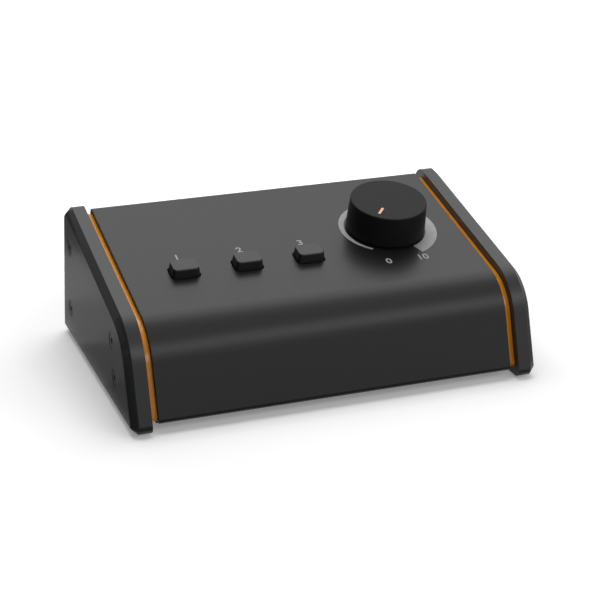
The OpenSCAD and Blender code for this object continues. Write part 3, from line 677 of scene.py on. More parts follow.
@functools.cache
def moulded_pbt():
    """Black PBT of switches and connectors: hard and half dull."""
    return patterned("moulded_black_pbt", srgb("#242426"), rough=0.42, grain=0.4,
                     height=0.008, drift=0.06, drift_size=8)


@functools.cache
def circuit_board():
    """Green solder mask over glass laminate: glossy, and a little uneven over the copper."""
    return patterned("green_solder_mask", srgb("#1d5638"), rough=0.22, grain=1.6,
                     height=0.02, drift=0.15, drift_size=3, shader={"Coat Weight": 0.3})


@functools.cache
def ribbon_pvc():
    """Grey PVC flat cable: its cores, 1.27 mm apart, leave it slightly uneven."""
    return patterned("grey_pvc_flat_cable", srgb("#9b9ea4"), rough=0.5, grain=1.27,
                     height=0.1, drift=0.05, drift_size=10)


def paint(piece, material):
    """Gives a modelled piece one material all over."""
    piece.data.materials.clear()
    piece.data.materials.append(material)
    return piece


def fit(piece, material, body, node=None):
    """Paints a finished piece, hangs it on the body it rides on, and hides the node it stands for."""
    paint(piece, material)
    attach(piece, body)
    if node:
        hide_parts(node)


# ---- casing -------------------------------------------------------------------------

CHEEK_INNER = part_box("right_cheek")[0].x / MM
CHEEK_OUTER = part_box("right_cheek")[1].x / MM
BOX_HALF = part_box("top_cover")[1].x / MM
BOX_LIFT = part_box("top_cover")[0].z / MM
CHEEK_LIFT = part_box("right_cheek")[0].z / MM
# Cheek screws, from the front corner line and from the underside of a cheek, in mm
CHEEK_SCREWS = ((31, 30.5), (28.8, 15), (104, 46.4), (108, 16.2))
COUNTERSINK_R, COUNTERSINK_DEEP = 4.0, 2.0
SCREW_SINK = 0.15
SHAFT_HOLE_R, M3_HOLE_R, M4_HOLE_R = 4.6, 1.7, 2.2
# How far the cutters reach: on both sides of the sheet, and into a cheek
THROUGH, CHEEK_BORE = 4, 12
TRIM_CORNER_R, TRIM_TOP_BACK_R = 1.5, 2.5
LIP_SCREW_X = (-60, 0, 60)
LIP_SCREW_DROP = 7.5


def cheek_screw_places(side=1):
    """The places of one cheek's screws on its outer face, looking outwards: 1 is right."""
    corner = side_profile(0, 0, 0, CHEEK_LIFT)[0]
    outward = Matrix.Rotation(math.radians(90 * side), 4, "Y")
    spots = [Vector((side * CHEEK_OUTER, corner.x + y, corner.y + z)) for y, z in CHEEK_SCREWS]
    return [Matrix.Translation(spot * MM) @ outward for spot in spots]


def lip_screw_places():
    """Three screws that hold the cover's lip to the rear panel, on the lip's face."""
    s = casing()
    corners = side_profile(s.proud, s.proud, s.overhang, BOX_LIFT)
    up = (corners[2] - corners[3]).length - LIP_SCREW_DROP
    return [shifted(REAR, x, up, s.sheet) for x in LIP_SCREW_X]


def draw_cover_path():
    """The outer face of the cover, drawn on its left edge from flange to lip."""
    s = casing()
    corners = side_profile(s.proud, s.proud, s.overhang, BOX_LIFT)
    down = (corners[3] - corners[2]).normalized()
    path = [corners[0] + Vector((s.flange, 0)), *corners[:3], corners[2] + down * s.lip]
    radii = [0, s.cover_foot_r, s.bend_r - s.proud, s.cover_back_r, 0]
    x = -BOX_HALF
    piece = pen_down("cover", path[0], x)
    pen = path[0]
    for i in (1, 2, 3):
        a, b, c, r = path[i - 1], path[i], path[i + 1], radii[i]
        pen_line(pen, bend_start(a, b, c, r))
        pen_bend(a, b, c, r, x)
        pen = bend_start(c, b, a, r)
    pen_line(pen, path[4])
    return piece


def button_hole(place):
    """A cutter for the opening round a button."""
    s = controls()
    gap, corner, deep = 0.4, 2.4, 8
    cutter = add_block("button_hole", (s.button_w + 2 * gap, s.button_d + 2 * gap, deep))
    edit(cutter)
    pick(cutter, "edges", upright_edge)
    round_edges(corner)
    object_mode()
    return put(cutter, place)


class CONTROLLER_OT_cover(bpy.types.Operator):
    """Bends the sheet-metal cover and cuts its openings"""

    bl_idname = "controller.cover"
    bl_label = "Cover"

    def execute(self, context):
        """Draws the bent face, thickens it inwards and cuts the holes."""
        cover = draw_cover_path()
        bpy.ops.mesh.select_all(action="SELECT")
        extrude(x=2 * BOX_HALF)
        bpy.ops.mesh.select_all(action="SELECT")
        bpy.ops.mesh.normals_make_consistent(inside=False)
        object_mode()
        up = KNOB.to_3x3() @ Vector((0, 0, 1))
        slope = max(cover.data.polygons, key=lambda face: face.area)
        if slope.normal.dot(up) < 0:
            edit(cover)
            bpy.ops.mesh.flip_normals()
            object_mode()
        finish(cover, "SOLIDIFY", thickness=casing().sheet * MM, offset=-1, use_even_offset=True)
        shaft_hole = put(add_rod("shaft_hole", SHAFT_HOLE_R, -THROUGH, THROUGH, sides=48), KNOB)
        cut(cover, shaft_hole, *[button_hole(place) for place in BUTTONS])
        cut(cover, *[put(add_rod("lip_hole", M3_HOLE_R, -THROUGH, THROUGH, sides=24), place)
                     for place in lip_screw_places()])
        soften(cover, 0.18)
        fit(cover, powder_coated_steel(), "chassis", "top_cover")
        return {"FINISHED"}


class CONTROLLER_OT_cheeks(bpy.types.Operator):
    """Mills the two thick side cheeks, chamfered and countersunk"""

    bl_idname = "controller.cheeks"
    bl_label = "Side cheeks"

    def execute(self, context):
        """Extrudes the rounded outline, insets its outer face and sinks the holes."""
        s = casing()
        radii = (s.corner_r, s.bend_r, s.top_back_r, s.corner_r)
        thick = CHEEK_OUTER - CHEEK_INNER
        right = round_plate("cheek_right", side_profile(0, 0, 0, CHEEK_LIFT), radii,
                            CHEEK_INNER, thick - s.chamfer)
        edit(right)
        pick(right, "faces", facing((1, 0, 0)))
        inset(s.chamfer, s.chamfer)
        object_mode()
        past = 0.2
        for place in cheek_screw_places():
            sink = add_rod("sink", M4_HOLE_R, -COUNTERSINK_DEEP, past, COUNTERSINK_R + past)
            bore = add_rod("bore", M4_HOLE_R, -CHEEK_BORE, 1, sides=32)
            cut(right, put(sink, place), put(bore, place))
        soften(right, 0.22, segments=3, limit=20)
        left = flipped(right, "cheek_left")
        soften(left, 0.02, segments=1, limit=60)
        fit(right, anodised_aluminium(), "chassis", "right_cheek")
        fit(left, anodised_aluminium(), "chassis", "left_cheek")
        return {"FINISHED"}


class CONTROLLER_OT_trim(bpy.types.Operator):
    """Cuts the amber plates that line the gaps between cheeks and box"""

    bl_idname = "controller.trim"
    bl_label = "Amber plates"

    def execute(self, context):
        """Extrudes the plate's outline, and rounds its polished edges."""
        s = casing()
        set_in, foot = s.proud + s.groove, s.overhang + s.groove
        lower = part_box("right_trim_plate")[0].z / MM
        radii = (TRIM_CORNER_R, s.bend_r - set_in, TRIM_TOP_BACK_R, TRIM_CORNER_R)
        right = round_plate("amber_plate_right", side_profile(set_in, set_in, foot, lower),
                            radii, BOX_HALF, CHEEK_INNER - BOX_HALF)
        soften(right, 0.35, segments=3)
        left = flipped(right, "amber_plate_left")
        fit(right, amber_acrylic(), "chassis", "right_trim_plate")
        fit(left, amber_acrylic(), "chassis", "left_trim_plate")
        return {"FINISHED"}


# ---- screws -------------------------------------------------------------------------

HEAD_EDGE_R = 0.12
# Of a pan head: its round and its socket's radius, as shares of its height and its radius,
# and the socket's depth
PAN_ROUND, PAN_SOCKET, PAN_SOCKET_DEEP = 0.55, 0.45, 1


def countersunk_screw(name, head_r, head_h, shank_r, reach, socket_r, socket_deep):
    """A countersunk screw with a hexagon socket, its head's face at the origin."""
    screw = add_rod(name, shank_r, -head_h, 0, head_r, sides=48)
    edit(screw)
    pick(screw, "faces", facing((0, 0, -1)))
    extrude(z=head_h - reach)
    pick(screw, "edges", level_edge(0))
    round_edges(HEAD_EDGE_R, 2)
    object_mode()
    cut(screw, add_rod("socket", socket_r, -socket_deep, 1, sides=6))
    return soften(screw, 0.08)


def pan_screw(name, head_r, head_h, shank_r, reach):
    """A pan head screw with a hexagon socket, the underside of its head at the origin."""
    screw = add_rod(name, head_r, 0, head_h, sides=48)
    edit(screw)
    pick(screw, "edges", level_edge(head_h))
    round_edges(head_h * PAN_ROUND, 5)
    pick(screw, "faces", facing((0, 0, -1)))
    inset(head_r - shank_r)
    extrude(z=-reach)
    object_mode()
    cut(screw, add_rod("socket", head_r * PAN_SOCKET, head_h - PAN_SOCKET_DEEP, head_h + 1,
                       sides=6))
    return soften(screw, 0.08)


SIDE_SCREW_X = 72.3
SIDE_SCREW_UP = (9, 34)
BASE_SCREW_X = 50
BASE_SCREW_IN = (9.6, 8.5)
BASE_SIDE_Y = 10
SOCKET_SCREW = (9.5, 12)
SOCKET_FLANGE = 2
# Radius and height of the head, radius and reach of the shank, and of a countersunk screw
# also the radius and depth of its hexagon socket
M4_SUNK = (3.8, 2, 2, 16, 1.45, 1.6)
M3_SUNK = (2.8, 1.3, 1.5, 7, 1.1, 1)
TAPPING = (2.9, 1.3, 1.5, 8, 1.1, 1)
PAN_HEAD = (2.75, 1.8, 1.5, 8)
# How much slimmer a foot is at the floor, and the slope and depth of the dish under it
FOOT_TAPER, DISH_SLOPE, DISH_DEEP = 0.8, 0.25, 0.5


def base_screw_places():
    """Six screws in the underside, looking down."""
    s = casing()
    front = side_profile(s.proud, s.proud, s.overhang, BOX_LIFT)[0].x + BASE_SCREW_IN[0]
    back = rear_foot().y / MM - BASE_SCREW_IN[1]
    spots = [(BASE_SCREW_X, front), (BASE_SCREW_X, back), (SIDE_SCREW_X, BASE_SIDE_Y)]
    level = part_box("base_pan")[0].z / MM
    down = Matrix.Rotation(math.pi, 4, "X")
    return [Matrix.Translation(Vector((side * x, y, level)) * MM) @ down
            for x, y in spots for side in (-1, 1)]


class CONTROLLER_OT_screws(bpy.types.Operator):
    """Turns the screws of the cheeks, the back, the underside and the sockets"""

    bl_idname = "controller.screws"
    bl_label = "Screws"

    def execute(self, context):
        """Makes one screw of each kind, and copies it to its places."""
        x, y = SOCKET_SCREW
        sunk = [shifted(place, z=-SCREW_SINK) for side in (1, -1)
                for place in cheek_screw_places(side)]
        back = lip_screw_places() + [shifted(REAR, side * SIDE_SCREW_X, up)
                                     for side in (1, -1) for up in SIDE_SCREW_UP]
        flange = [shifted(place, side * x, side * y, SOCKET_FLANGE)
                  for place in INPUTS + OUTPUTS for side in (1, -1)]
        m4 = countersunk_screw("m4_screw", *M4_SUNK)
        m3 = countersunk_screw("m3_screw", *M3_SUNK)
        tapping = countersunk_screw("socket_screw", *TAPPING)
        pan = pan_screw("back_screw", *PAN_HEAD)
        groups = {"cheek_screws": copies(m4, "cheek_fixings", sunk),
                  "base_screws": copies(m3, "base_fixings", base_screw_places()),
                  "rear_screws": copies(pan, "back_fixings", back),
                  "socket_screws": copies(tapping, "socket_fixings", flange)}
        for node, group in groups.items():
            fit(group, black_oxide_steel(), "chassis", node)
        return {"FINISHED"}


class CONTROLLER_OT_feet(bpy.types.Operator):
    """Moulds the four rubber feet"""

    bl_idname = "controller.feet"
    bl_label = "Feet"

    def execute(self, context):
        """Makes one dished foot, and copies it under each corner."""
        low, high = (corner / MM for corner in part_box("foot_front_left"))
        top_r, foot_h = (high.x - low.x) / 2, high.z - low.z
        foot = add_rod("foot", top_r - FOOT_TAPER, 0, foot_h, top_r)
        edit(foot)
        pick(foot, "faces", facing((0, 0, -1)))
        inset(top_r / 2 - FOOT_TAPER)
        inset(DISH_SLOPE, -DISH_DEEP)
        object_mode()
        soften(foot, 0.3, segments=3, limit=50)
        for corner in ("front_left", "front_right", "rear_left", "rear_right"):
            spot = middle(f"foot_{corner}")
            piece = twin(foot, f"rubber_{corner}", Matrix.Translation((spot.x, spot.y, 0)))
            fit(piece, foot_rubber(), "chassis", f"foot_{corner}")
        bpy.data.objects.remove(foot)
        return {"FINISHED"}


# ---- controls -----------------------------------------------------------------------

LINE_IN, LINE_OUT, LINE_WIDE, LINE_DEEP = 8.1, 13.6, 1.2, 0.8
LINE_PROUD = 0.05
KNOB_BORE_R, KNOB_FOOT_R = 14.2, 0.3
KNOB_ROOF = 2.2
CAP_SKIRT, CAP_RIM, CAP_RIM_WIDE = 2, 0.9, 1.1
CAP_CORNER_R, CAP_EDGE_R = 2, 0.45
CAP_LEAN = (0.55, 0.5)
# Size and middle of the blind hole for the plunger's stem
STEM_HOLE = ((3, 3, 12), (0, 0, -4.4))


def line_block(name, height, over):
    """The block of the knob's line, standing over the top of the knob."""
    deep = LINE_DEEP + over
    block = add_block(name, (LINE_OUT - LINE_IN, LINE_WIDE, deep),
                      ((LINE_IN + LINE_OUT) / 2, 0, height + over - deep / 2))
    return put(block, turned(KNOB, controls().line_turn))


class CONTROLLER_OT_knob(bpy.types.Operator):
    """Turns the volume knob and fills its line"""

    bl_idname = "controller.knob"
    bl_label = "Volume knob"

    def execute(self, context):
        """Makes a tapered, hollow knob with a round edge, and lays the line in its groove."""
        s = controls()
        base_r, top_r = s.knob_base_d / 2, s.knob_top_d / 2
        knob = add_rod("knob_cap", base_r, s.knob_gap, s.knob_h, top_r, sides=144)
        edit(knob)
        pick(knob, "edges", level_edge(s.knob_h))
        round_edges(s.knob_edge, 6)
        pick(knob, "edges", level_edge(s.knob_gap))
        round_edges(KNOB_FOOT_R, 2)
        pick(knob, "faces", facing((0, 0, -1)))
        inset(base_r - KNOB_FOOT_R - KNOB_BORE_R)
        extrude(z=s.knob_h - s.knob_gap - KNOB_ROOF)
        object_mode()
        put(knob, KNOB)
        cut(knob, line_block("groove", s.knob_h, 1))
        soften(knob, 0.06, segments=1, limit=50)
        fit(knob, soft_touch_abs(), "volume", "knob_shell")
        line = soften(line_block("knob_line", s.knob_h, LINE_PROUD), 0.2, segments=3)
        fit(line, line_lacquer(), "volume", "knob_indicator")
        return {"FINISHED"}


class CONTROLLER_OT_buttons(bpy.types.Operator):
    """Moulds the three push-button caps"""

    bl_idname = "controller.buttons"
    bl_label = "Push buttons"

    def execute(self, context):
        """Makes one tapered cap with a retaining rim below the panel, and copies it."""
        s = controls()
        wide, deep, high = s.button_w, s.button_d, s.button_h
        cap = add_block("cap", (wide, deep, CAP_SKIRT), (0, 0, -CAP_SKIRT / 2))
        edit(cap)
        pick(cap, "faces", facing((0, 0, 1)))
        extrude(z=high)
        bpy.ops.transform.resize(
            value=(1 - 2 * CAP_LEAN[0] / wide, 1 - 2 * CAP_LEAN[1] / deep, 1),
            center_override=(0, 0, high * MM))
        pick(cap, "edges", upright_edge)
        round_edges(CAP_CORNER_R, 8)
        pick(cap, "edges", level_edge(high))
        round_edges(CAP_EDGE_R, 4)
        pick(cap, "faces", facing((0, 0, -1)))
        extrude(z=0)
        bpy.ops.transform.resize(
            value=(1 + 2 * CAP_RIM_WIDE / wide, 1 + 2 * CAP_RIM_WIDE / deep, 1),
            center_override=(0, 0, -CAP_SKIRT * MM))
        extrude(z=-CAP_RIM)
        object_mode()
        cut(cap, add_block("stem_hole", *STEM_HOLE))
        soften(cap, 0.1, limit=50)
        for n, place in enumerate(BUTTONS, 1):
            piece = twin(cap, f"push_button_{n}", place)
            fit(piece, moulded_abs(), f"button_{n}", f"button_cap_{n}")
        bpy.data.objects.remove(cap)
        return {"FINISHED"}


SPRING_TURNS, SPRING_R, WIRE_R = 4, 2.75, 0.25
# The wire's middle at both ends of a spring, from the panel's face
SPRING_LOW, SPRING_HIGH = -13.73, -9.07


class CONTROLLER_OT_springs(bpy.types.Operator):
    """Winds the return springs under the buttons"""

    bl_idname = "controller.springs"
    bl_label = "Return springs"

    def execute(self, context):
        """Winds one coil of wire, and copies it under each button."""
        object_mode()
        bpy.ops.mesh.primitive_circle_add(
            vertices=12, radius=WIRE_R * MM, location=(SPRING_R * MM, 0, SPRING_LOW * MM),
            rotation=(math.pi / 2, 0, 0))
        coil = settle(named("coil"))
        finish(coil, "SCREW", axis="Z", angle=2 * math.pi, iterations=SPRING_TURNS, steps=24,
               render_steps=24, screw_offset=(SPRING_HIGH - SPRING_LOW) / SPRING_TURNS * MM)
        edit(coil, "EDGE")
        bpy.ops.mesh.fill_holes(sides=0)
        turn_outwards(coil)
        for n, place in enumerate(BUTTONS, 1):
            piece = twin(coil, f"return_spring_{n}", place)
            fit(piece, spring_steel(), "chassis", f"switch_spring_{n}")
            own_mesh(piece)
        bpy.data.objects.remove(coil)
        return {"FINISHED"}


# ---- print on the panel -------------------------------------------------------------

PRINT_T = 0.04
RING_STEPS = 100
DIGIT_UP = 11.4
DIGIT_BOLD = 0.12
# Digits at the two ends of the knob's travel, from the knob's middle
DIAL_DIGITS = {"0": (-8.6, -26), "10": (7.4, -26)}


def printed_ring():
    """A ring that widens clockwise: a tapering strip, bent round the knob."""
    s = controls()
    long = math.radians(s.ring_sweep) * s.ring_radius
    object_mode()
    bpy.ops.mesh.primitive_plane_add(size=MM)
    ring = named("printed_ring")
    edit(ring, "VERT")
    bpy.ops.transform.resize(value=(long, 1, 1))
    corners = {(-1, -1): -s.ring_end_out, (1, -1): -s.ring_start_out,
               (-1, 1): s.ring_end_in, (1, 1): s.ring_start_in}
    for (side, row), level in corners.items():
        pick(ring, "verts", lambda v, side=side, row=row: v.co.x * side > 0 and v.co.y * row > 0)
        bpy.ops.transform.translate(value=(0, (level - row / 2) * MM, 0))
    half = long * MM / 2
    pick(ring, "edges", lambda e: e.calc_length() > half)
    bpy.ops.mesh.subdivide(number_cuts=RING_STEPS - 1)
    object_mode()
    finish(ring, "SIMPLE_DEFORM", deform_method="BEND", deform_axis="Z",
           angle=math.radians(s.ring_sweep))
    finish(ring, "SOLIDIFY", thickness=PRINT_T * MM, offset=0)
    turn_outwards(ring)
    middle_turn = s.ring_turn - s.ring_sweep / 2
    place = turned(KNOB, middle_turn + 90)
    return put(ring, shifted(place, y=-s.ring_radius, z=PRINT_T / 2))


def digit(text, place):
    """A printed digit, centred at a place on the panel."""
    cap_share = 0.7
    object_mode()
    bpy.ops.object.text_add()
    letter = bpy.context.object
    letter.data.body = text
    letter.data.size = controls().digit_h / cap_share * MM
    letter.data.align_x = "CENTER"
    letter.data.align_y = "CENTER"
    letter.data.extrude = PRINT_T / 2 * MM
    letter.data.offset = DIGIT_BOLD * MM
    only(letter)
    bpy.ops.object.convert(target="MESH")
    piece = turn_outwards(named("digit"))
    return put(piece, shifted(place, z=PRINT_T / 2))


class CONTROLLER_OT_print(bpy.types.Operator):
    """Prints the ring round the knob and the digits on the panel"""

    bl_idname = "controller.print"
    bl_label = "Panel print"

    def execute(self, context):
        """Makes the ring and the digits as films of ink on the panel."""
        fit(printed_ring(), screen_ink(), "chassis")
        spots = {str(n): shifted(place, y=DIGIT_UP) for n, place in enumerate(BUTTONS, 1)}
        spots.update({text: shifted(KNOB, *at) for text, at in DIAL_DIGITS.items()})
        digits = [digit(text, place) for text, place in spots.items()]
        fit(join("printed_digits", digits), screen_ink(), "chassis")
        return {"FINISHED"}


# ---- sockets ------------------------------------------------------------------------

FLANGE_SIZE, FLANGE_CORNER_R = (26, 31), 3.5
# The sink of a flange's screw hole: its radius at the foot and the face, and its foot's height
SINK_FOOT_R, SINK_FACE_R, SINK_FOOT = 1.6, 3.15, 0.6
BARREL_R, BARREL_DEEP = 11.8, 20
SHELL_BORE_R = 9.6
INSERT_R, INSERT_PROUD = 7.9, 0.6
JACK_R, JACK_DEEP = 3.25, 18
CONTACT_CIRCLE, CONTACT_R, CONTACT_DEEP = 5.7, 1.35, 11
MOUTH_R, MOUTH_DEEP = 9.9, 3
# The pin holes run from behind to this depth
PIN_CIRCLE, PIN_R, PIN_DEEP = 4.7, 1.2, 12
# Thickness of what closes the barrel behind an insert, and behind an output's bore
SEAT_H, FLOOR_H = 5, 6


def around(radius, angles):
    """Places on a circle round the origin."""
    return [shifted(Matrix.Rotation(math.radians(a), 4, "Z"), x=radius) for a in angles]


def socket_shell(name):
    """A flange with round corners and screw holes, and a bored barrel behind it."""
    shell = add_block(name, (*FLANGE_SIZE, SOCKET_FLANGE), (0, 0, SOCKET_FLANGE / 2))
    edit(shell)
    pick(shell, "edges", upright_edge)
    round_edges(FLANGE_CORNER_R, 8)
    object_mode()
    weld(shell, add_rod("barrel", BARREL_R, -BARREL_DEEP, 1, sides=96))
    cut(shell, add_rod("bore", SHELL_BORE_R, -BARREL_DEEP - 1, 5, sides=96))
    for side in (1, -1):
        place = shifted(Matrix(), side * SOCKET_SCREW[0], side * SOCKET_SCREW[1])
        cut(shell, put(add_rod("hole", M3_HOLE_R, -1, 5, sides=32), place),
            put(add_rod("sink", SINK_FOOT_R, SINK_FOOT, SOCKET_FLANGE + 0.1, SINK_FACE_R,
                        sides=48), place))
    return shell


class CONTROLLER_OT_sockets(bpy.types.Operator):
    """Moulds the round input and output sockets at the back"""

    bl_idname = "controller.sockets"
    bl_label = "Sockets"

    def execute(self, context):
        """Makes one input with its insert and one output, and copies each twice."""
        shell = soften(socket_shell("input_shell"), 0.35, segments=3, limit=50)
        insert = add_rod("insert", INSERT_R, -BARREL_DEEP, INSERT_PROUD, sides=96)
        weld(insert, add_rod("seat", SHELL_BORE_R, -BARREL_DEEP, SEAT_H - BARREL_DEEP,
                             sides=96))
        cut(insert, add_rod("jack", JACK_R, INSERT_PROUD - JACK_DEEP, 2, sides=64))
        cut(insert, *[put(add_rod("contact", CONTACT_R, -CONTACT_DEEP, 2, sides=32), place)
                      for place in around(CONTACT_CIRCLE, (90, 210, 330))])
        soften(insert, 0.2, limit=50)
        output = socket_shell("output_shell")
        weld(output, add_rod("floor", SHELL_BORE_R + 0.5, -BARREL_DEEP, FLOOR_H - BARREL_DEEP,
                             sides=96))
        cut(output, add_rod("mouth", MOUTH_R, SOCKET_FLANGE - MOUTH_DEEP, 5, sides=96))
        cut(output, *[put(add_rod("pin_hole", PIN_R, -BARREL_DEEP - 1, -PIN_DEEP, sides=32),
                          place) for place in around(PIN_CIRCLE, (30, 150, 270))])
        soften(output, 0.35, segments=3, limit=50)
        makes = (("input_socket", shell, INPUTS), ("input_insert", insert, INPUTS),
                 ("output_socket", output, OUTPUTS))
        for node, model, places in makes:
            for n, place in enumerate(places, 1):
                piece = twin(model, f"nylon_{node}_{n}", place)
                fit(piece, socket_nylon(), "chassis", f"{node}_{n}")
            bpy.data.objects.remove(model)
        return {"FINISHED"}


# ---- carried-over nodes -------------------------------------------------------------

BY_SLOT = {
    "cheek": anodised_aluminium, "cover": powder_coated_steel, "base": powder_coated_steel,
    "trim": amber_acrylic, "bracket": zinc_plate, "screw": black_oxide_steel,
    "foot": foot_rubber, "knob": soft_touch_abs, "knob_inner": moulded_pbt,
    "indicator": line_lacquer, "shaft": turned_aluminium, "bushing": turned_brass,
    "wiper": natural_nylon, "pot_case": phenolic_case, "contact": tinned_copper,
    "button": moulded_abs, "plunger": natural_acetal, "spring": spring_steel,
    "switch": moulded_pbt, "board": circuit_board, "ribbon": ribbon_pvc,
    "header": moulded_pbt, "socket": socket_nylon,
}


class CONTROLLER_OT_frame_finishes(bpy.types.Operator):
    """Gives every carried-over part its real finish"""

    bl_idname = "controller.frame_finishes"
    bl_label = "Inner parts and panels"

    def execute(self, context):
        """Puts each node's material in its slots, by the record's slot name."""
        for part in frame["record"]["subparts"]:
            for slot in frame["nodes"][part["node"]].material_slots:
                slot.material = BY_SLOT[part["material_slot"]]()
        return {"FINISHED"}


# ---- stage --------------------------------------------------------------------------

CAMERA_AT = (-230.15, -637.77, 290.11)
CAMERA_TURN = (68.664, 0, -20.153)
CAMERA_LENS = 98.47
SENSOR = 36
FLOOR_SIZE = 8000
FLOOR_LIFT = 0.22
# Painted light on the floor away from the object, which fades its shadow there: the lift to the
# camera far away, and how far off it starts and ends, in metres
FAR_PAINTED_LIGHT, FAR_FROM, FAR_TO = 0.6, 0.12, 0.4
# The world's level where neither the eye nor gloss nor glass looks at it
FILL = 0.1
# What the soft lights look at, in metres
LIGHT_AIM = (0, 0, 0.03)


def seen_ray(tree):
    """1 for rays from the camera, and for those seen in gloss or through glass."""
    path = add(tree, "ShaderNodeLightPath")
    first = add(tree, "ShaderNodeMath", {
        0: path.outputs["Is Camera Ray"], 1: path.outputs["Is Glossy Ray"]}, operation="MAXIMUM")
    return add(tree, "ShaderNodeMath", {
        0: first.outputs[0], 1: path.outputs["Is Transmission Ray"]},
        operation="MAXIMUM").outputs[0]


def floor_paper():
    """Matt white paper, lifted a little to the eye so that it is white where nothing shades it, and
    lifted more far away: painted light that fades the object's shadow with distance."""
    material = bpy.data.materials.new("white_paper")
    material.use_nodes = True
    tree = material.node_tree
    paper = tree.nodes["Principled BSDF"]
    paper.inputs["Roughness"].default_value = 0.9
    paper.inputs["Specular IOR Level"].default_value = 0.0
    paper.inputs["Base Color"].default_value = srgb("#f4f4f4")
    paper.inputs["Emission Color"].default_value = (1, 1, 1, 1)
    lift = add(tree, "ShaderNodeMath", {0: seen_ray(tree), 1: FLOOR_LIFT}, operation="MULTIPLY")
    place = add(tree, "ShaderNodeTexCoord").outputs["Object"]
    away = add(tree, "ShaderNodeVectorMath", {0: place}, operation="LENGTH").outputs["Value"]
    # Painted light: the floor brightens with distance from the object's middle, fading its shadow
    far = add(tree, "ShaderNodeMapRange", {
        "Value": away, "From Min": FAR_FROM, "From Max": FAR_TO, "To Min": 0.0,
        "To Max": FAR_PAINTED_LIGHT})
    camera = add(tree, "ShaderNodeLightPath").outputs["Is Camera Ray"]
    total = add(tree, "ShaderNodeMath", {
        0: far.outputs["Result"], 1: camera, 2: lift.outputs[0]}, operation="MULTIPLY_ADD")
    tree.links.new(total.outputs[0], paper.inputs["Emission Strength"])
    return material


def soft_box(name, turn, rise, distance, size, glow, glossy=True):
    """A rectangular soft light round the object, in degrees and millimetres. Its glow is
    its brightness, where 1 is a white surface in plain light. One that isn't glossy lights
    the object without showing in its sheen."""
    around_z, above = math.radians(turn), math.radians(rise)
    way = Vector((math.sin(around_z) * math.cos(above), -math.cos(around_z) * math.cos(above),
                  math.sin(above)))
    bpy.ops.object.light_add(
        type="AREA", location=way * distance * MM + Vector(LIGHT_AIM),
        rotation=way.to_track_quat("Z", "Y").to_euler())
    lamp = bpy.context.object
    lamp.name = lamp.data.name = name
    lamp.data.shape = "RECTANGLE"
    lamp.data.size, lamp.data.size_y = size[0] * MM, size[1] * MM
    lamp.data.energy = glow * math.pi * lamp.data.size * lamp.data.size_y
    lamp.visible_camera = False
    lamp.visible_glossy = glossy


def dark_card(name, at, size, tone, upright=False):
    """A card that only gloss can see: its glow, the tone, is a painted reflection in the object's sheen,
    darker or lighter than the floor and world that it hides. It lies on the floor, or stands on edge
    along Y; in millimetres."""
    bpy.ops.mesh.primitive_plane_add(size=1, location=[c * MM for c in at])
    card = named(name)
    card.scale = (size[0] * MM, size[1] * MM, 1)
    if upright:
        card.rotation_euler.y = math.pi / 2
    settle(card)
    material = bpy.data.materials.new(name)
    material.use_nodes = True
    surface = material.node_tree.nodes["Principled BSDF"]
    surface.inputs["Base Color"].default_value = (0, 0, 0, 1)
    surface.inputs["Emission Color"].default_value = (1, 1, 1, 1)
    surface.inputs["Emission Strength"].default_value = tone
    paint(card, material)
    card.visible_camera = card.visible_diffuse = False
    card.visible_transmission = card.visible_shadow = False


# Name, turn from the front to the right, rise, distance, width and height, glow, glossy
LIGHTS = (("back_box", 162, 59, 1000, (1300, 680), 1.5),
          ("front_box", 20, 36, 1000, (1300, 300), 2.2),
          ("top_box", 180, 82, 900, (700, 700), 2.8, False))
# Painted reflections, seen only in gloss. Name, middle, size, tone: beside the left cheek from front
# to back, before the front, beside the right cheek, and on edge at the left
REFLECTION_CARDS = (("left_card_1", (-246, -127, 0.2), (308, 245), 0.04),
         ("left_card_2", (-246, 18, 0.2), (308, 45), 0.12),
         ("left_card_3", (-246, 68, 0.2), (308, 55), 0.3),
         ("left_card_4", (-246, 130, 0.2), (308, 70), 0.45),
         ("left_card_5", (-396, 483, 0.2), (608, 635), 0.04),
         ("front_card", (0, -282, 0.2), (180, 436), 0.015),
         ("right_card", (278, 80, 0.2), (345, 360), 0.1),
         ("left_flag", (-720, 250, 400), (800, 1900), 0.13, True))


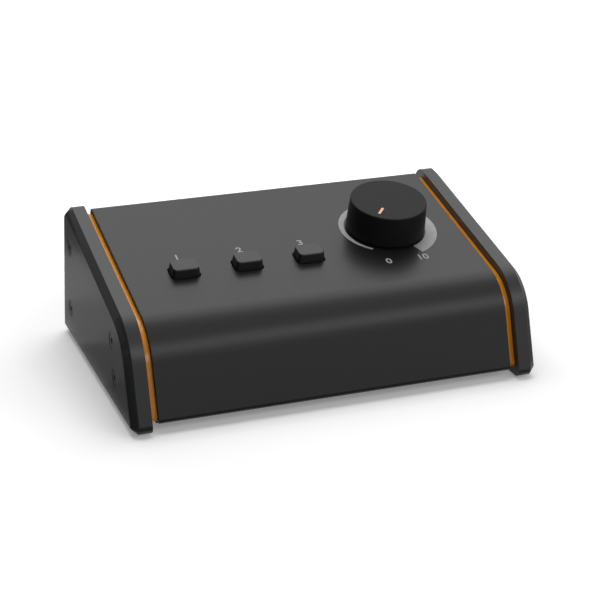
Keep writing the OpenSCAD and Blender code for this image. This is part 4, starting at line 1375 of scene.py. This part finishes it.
class CONTROLLER_OT_stage(bpy.types.Operator):
    """Sets the white floor, the soft lights and the camera"""

    bl_idname = "controller.stage"
    bl_label = "Stage"

    def execute(self, context):
        """Lays the floor, lights it and looks at it as the photograph does."""
        object_mode()
        bpy.ops.mesh.primitive_plane_add(size=FLOOR_SIZE * MM)
        floor = paint(named("floor"), floor_paper())
        world = bpy.data.worlds.new("studio")
        world.use_nodes = True
        sky = world.node_tree.nodes["Background"]
        level = add(world.node_tree, "ShaderNodeMapRange", {
            "Value": seen_ray(world.node_tree), "To Min": FILL, "To Max": 1.0})
        world.node_tree.links.new(level.outputs["Result"], sky.inputs["Strength"])
        sky.inputs["Color"].default_value = (1, 1, 1, 1)
        scene = context.scene
        scene.world = world
        for light in LIGHTS:
            soft_box(*light)
        # Cards seen only in gloss: painted reflections in the cheeks and the front
        for card in REFLECTION_CARDS:
            dark_card(*card)
        bpy.ops.object.camera_add(
            location=[c * MM for c in CAMERA_AT],
            rotation=[math.radians(c) for c in CAMERA_TURN])
        camera = context.object
        camera.data.lens = CAMERA_LENS
        camera.data.sensor_width = SENSOR
        camera.data.clip_start, camera.data.clip_end = 0.01, 50
        scene.camera = camera
        scene.view_settings.view_transform = "Standard"
        return {"FINISHED"}


# ---- add-on -------------------------------------------------------------------------


class CONTROLLER_PT_panel(bpy.types.Panel):
    """Lists the pieces of the controller and their settings"""

    bl_label = "Monitor controller"
    bl_space_type = "VIEW_3D"
    bl_region_type = "UI"
    bl_category = "Controller"

    def draw(self, context):
        """Draws a button for each step, then the settings."""
        for step in STEPS:
            self.layout.operator(step.bl_idname)
        for group, kind in GROUPS.items():
            settings = getattr(context.scene, group)
            for name in kind.__annotations__:
                self.layout.prop(settings, name)


STEPS = (
    CONTROLLER_OT_cover, CONTROLLER_OT_cheeks, CONTROLLER_OT_trim, CONTROLLER_OT_screws,
    CONTROLLER_OT_feet, CONTROLLER_OT_knob, CONTROLLER_OT_buttons, CONTROLLER_OT_springs,
    CONTROLLER_OT_print, CONTROLLER_OT_sockets, CONTROLLER_OT_frame_finishes,
    CONTROLLER_OT_stage,
)
CLASSES = (*GROUPS.values(), *STEPS, CONTROLLER_PT_panel)


def register():
    """Registers the classes, and the settings on the scene."""
    for cls in CLASSES:
        bpy.utils.register_class(cls)
    for group, kind in GROUPS.items():
        setattr(bpy.types.Scene, group, bpy.props.PointerProperty(type=kind))


def unregister():
    """Takes the settings and the classes away."""
    for group in GROUPS:
        delattr(bpy.types.Scene, group)
    for cls in reversed(CLASSES):
        bpy.utils.unregister_class(cls)


def main():
    """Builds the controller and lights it."""
    register()
    for step in STEPS:
        area, name = step.bl_idname.split(".")
        result = getattr(getattr(bpy.ops, area), name)()
        if result != {"FINISHED"}:
            raise RuntimeError(f"{step.bl_idname} did not finish")
    object_mode()


if __name__ == "__main__":
    main()
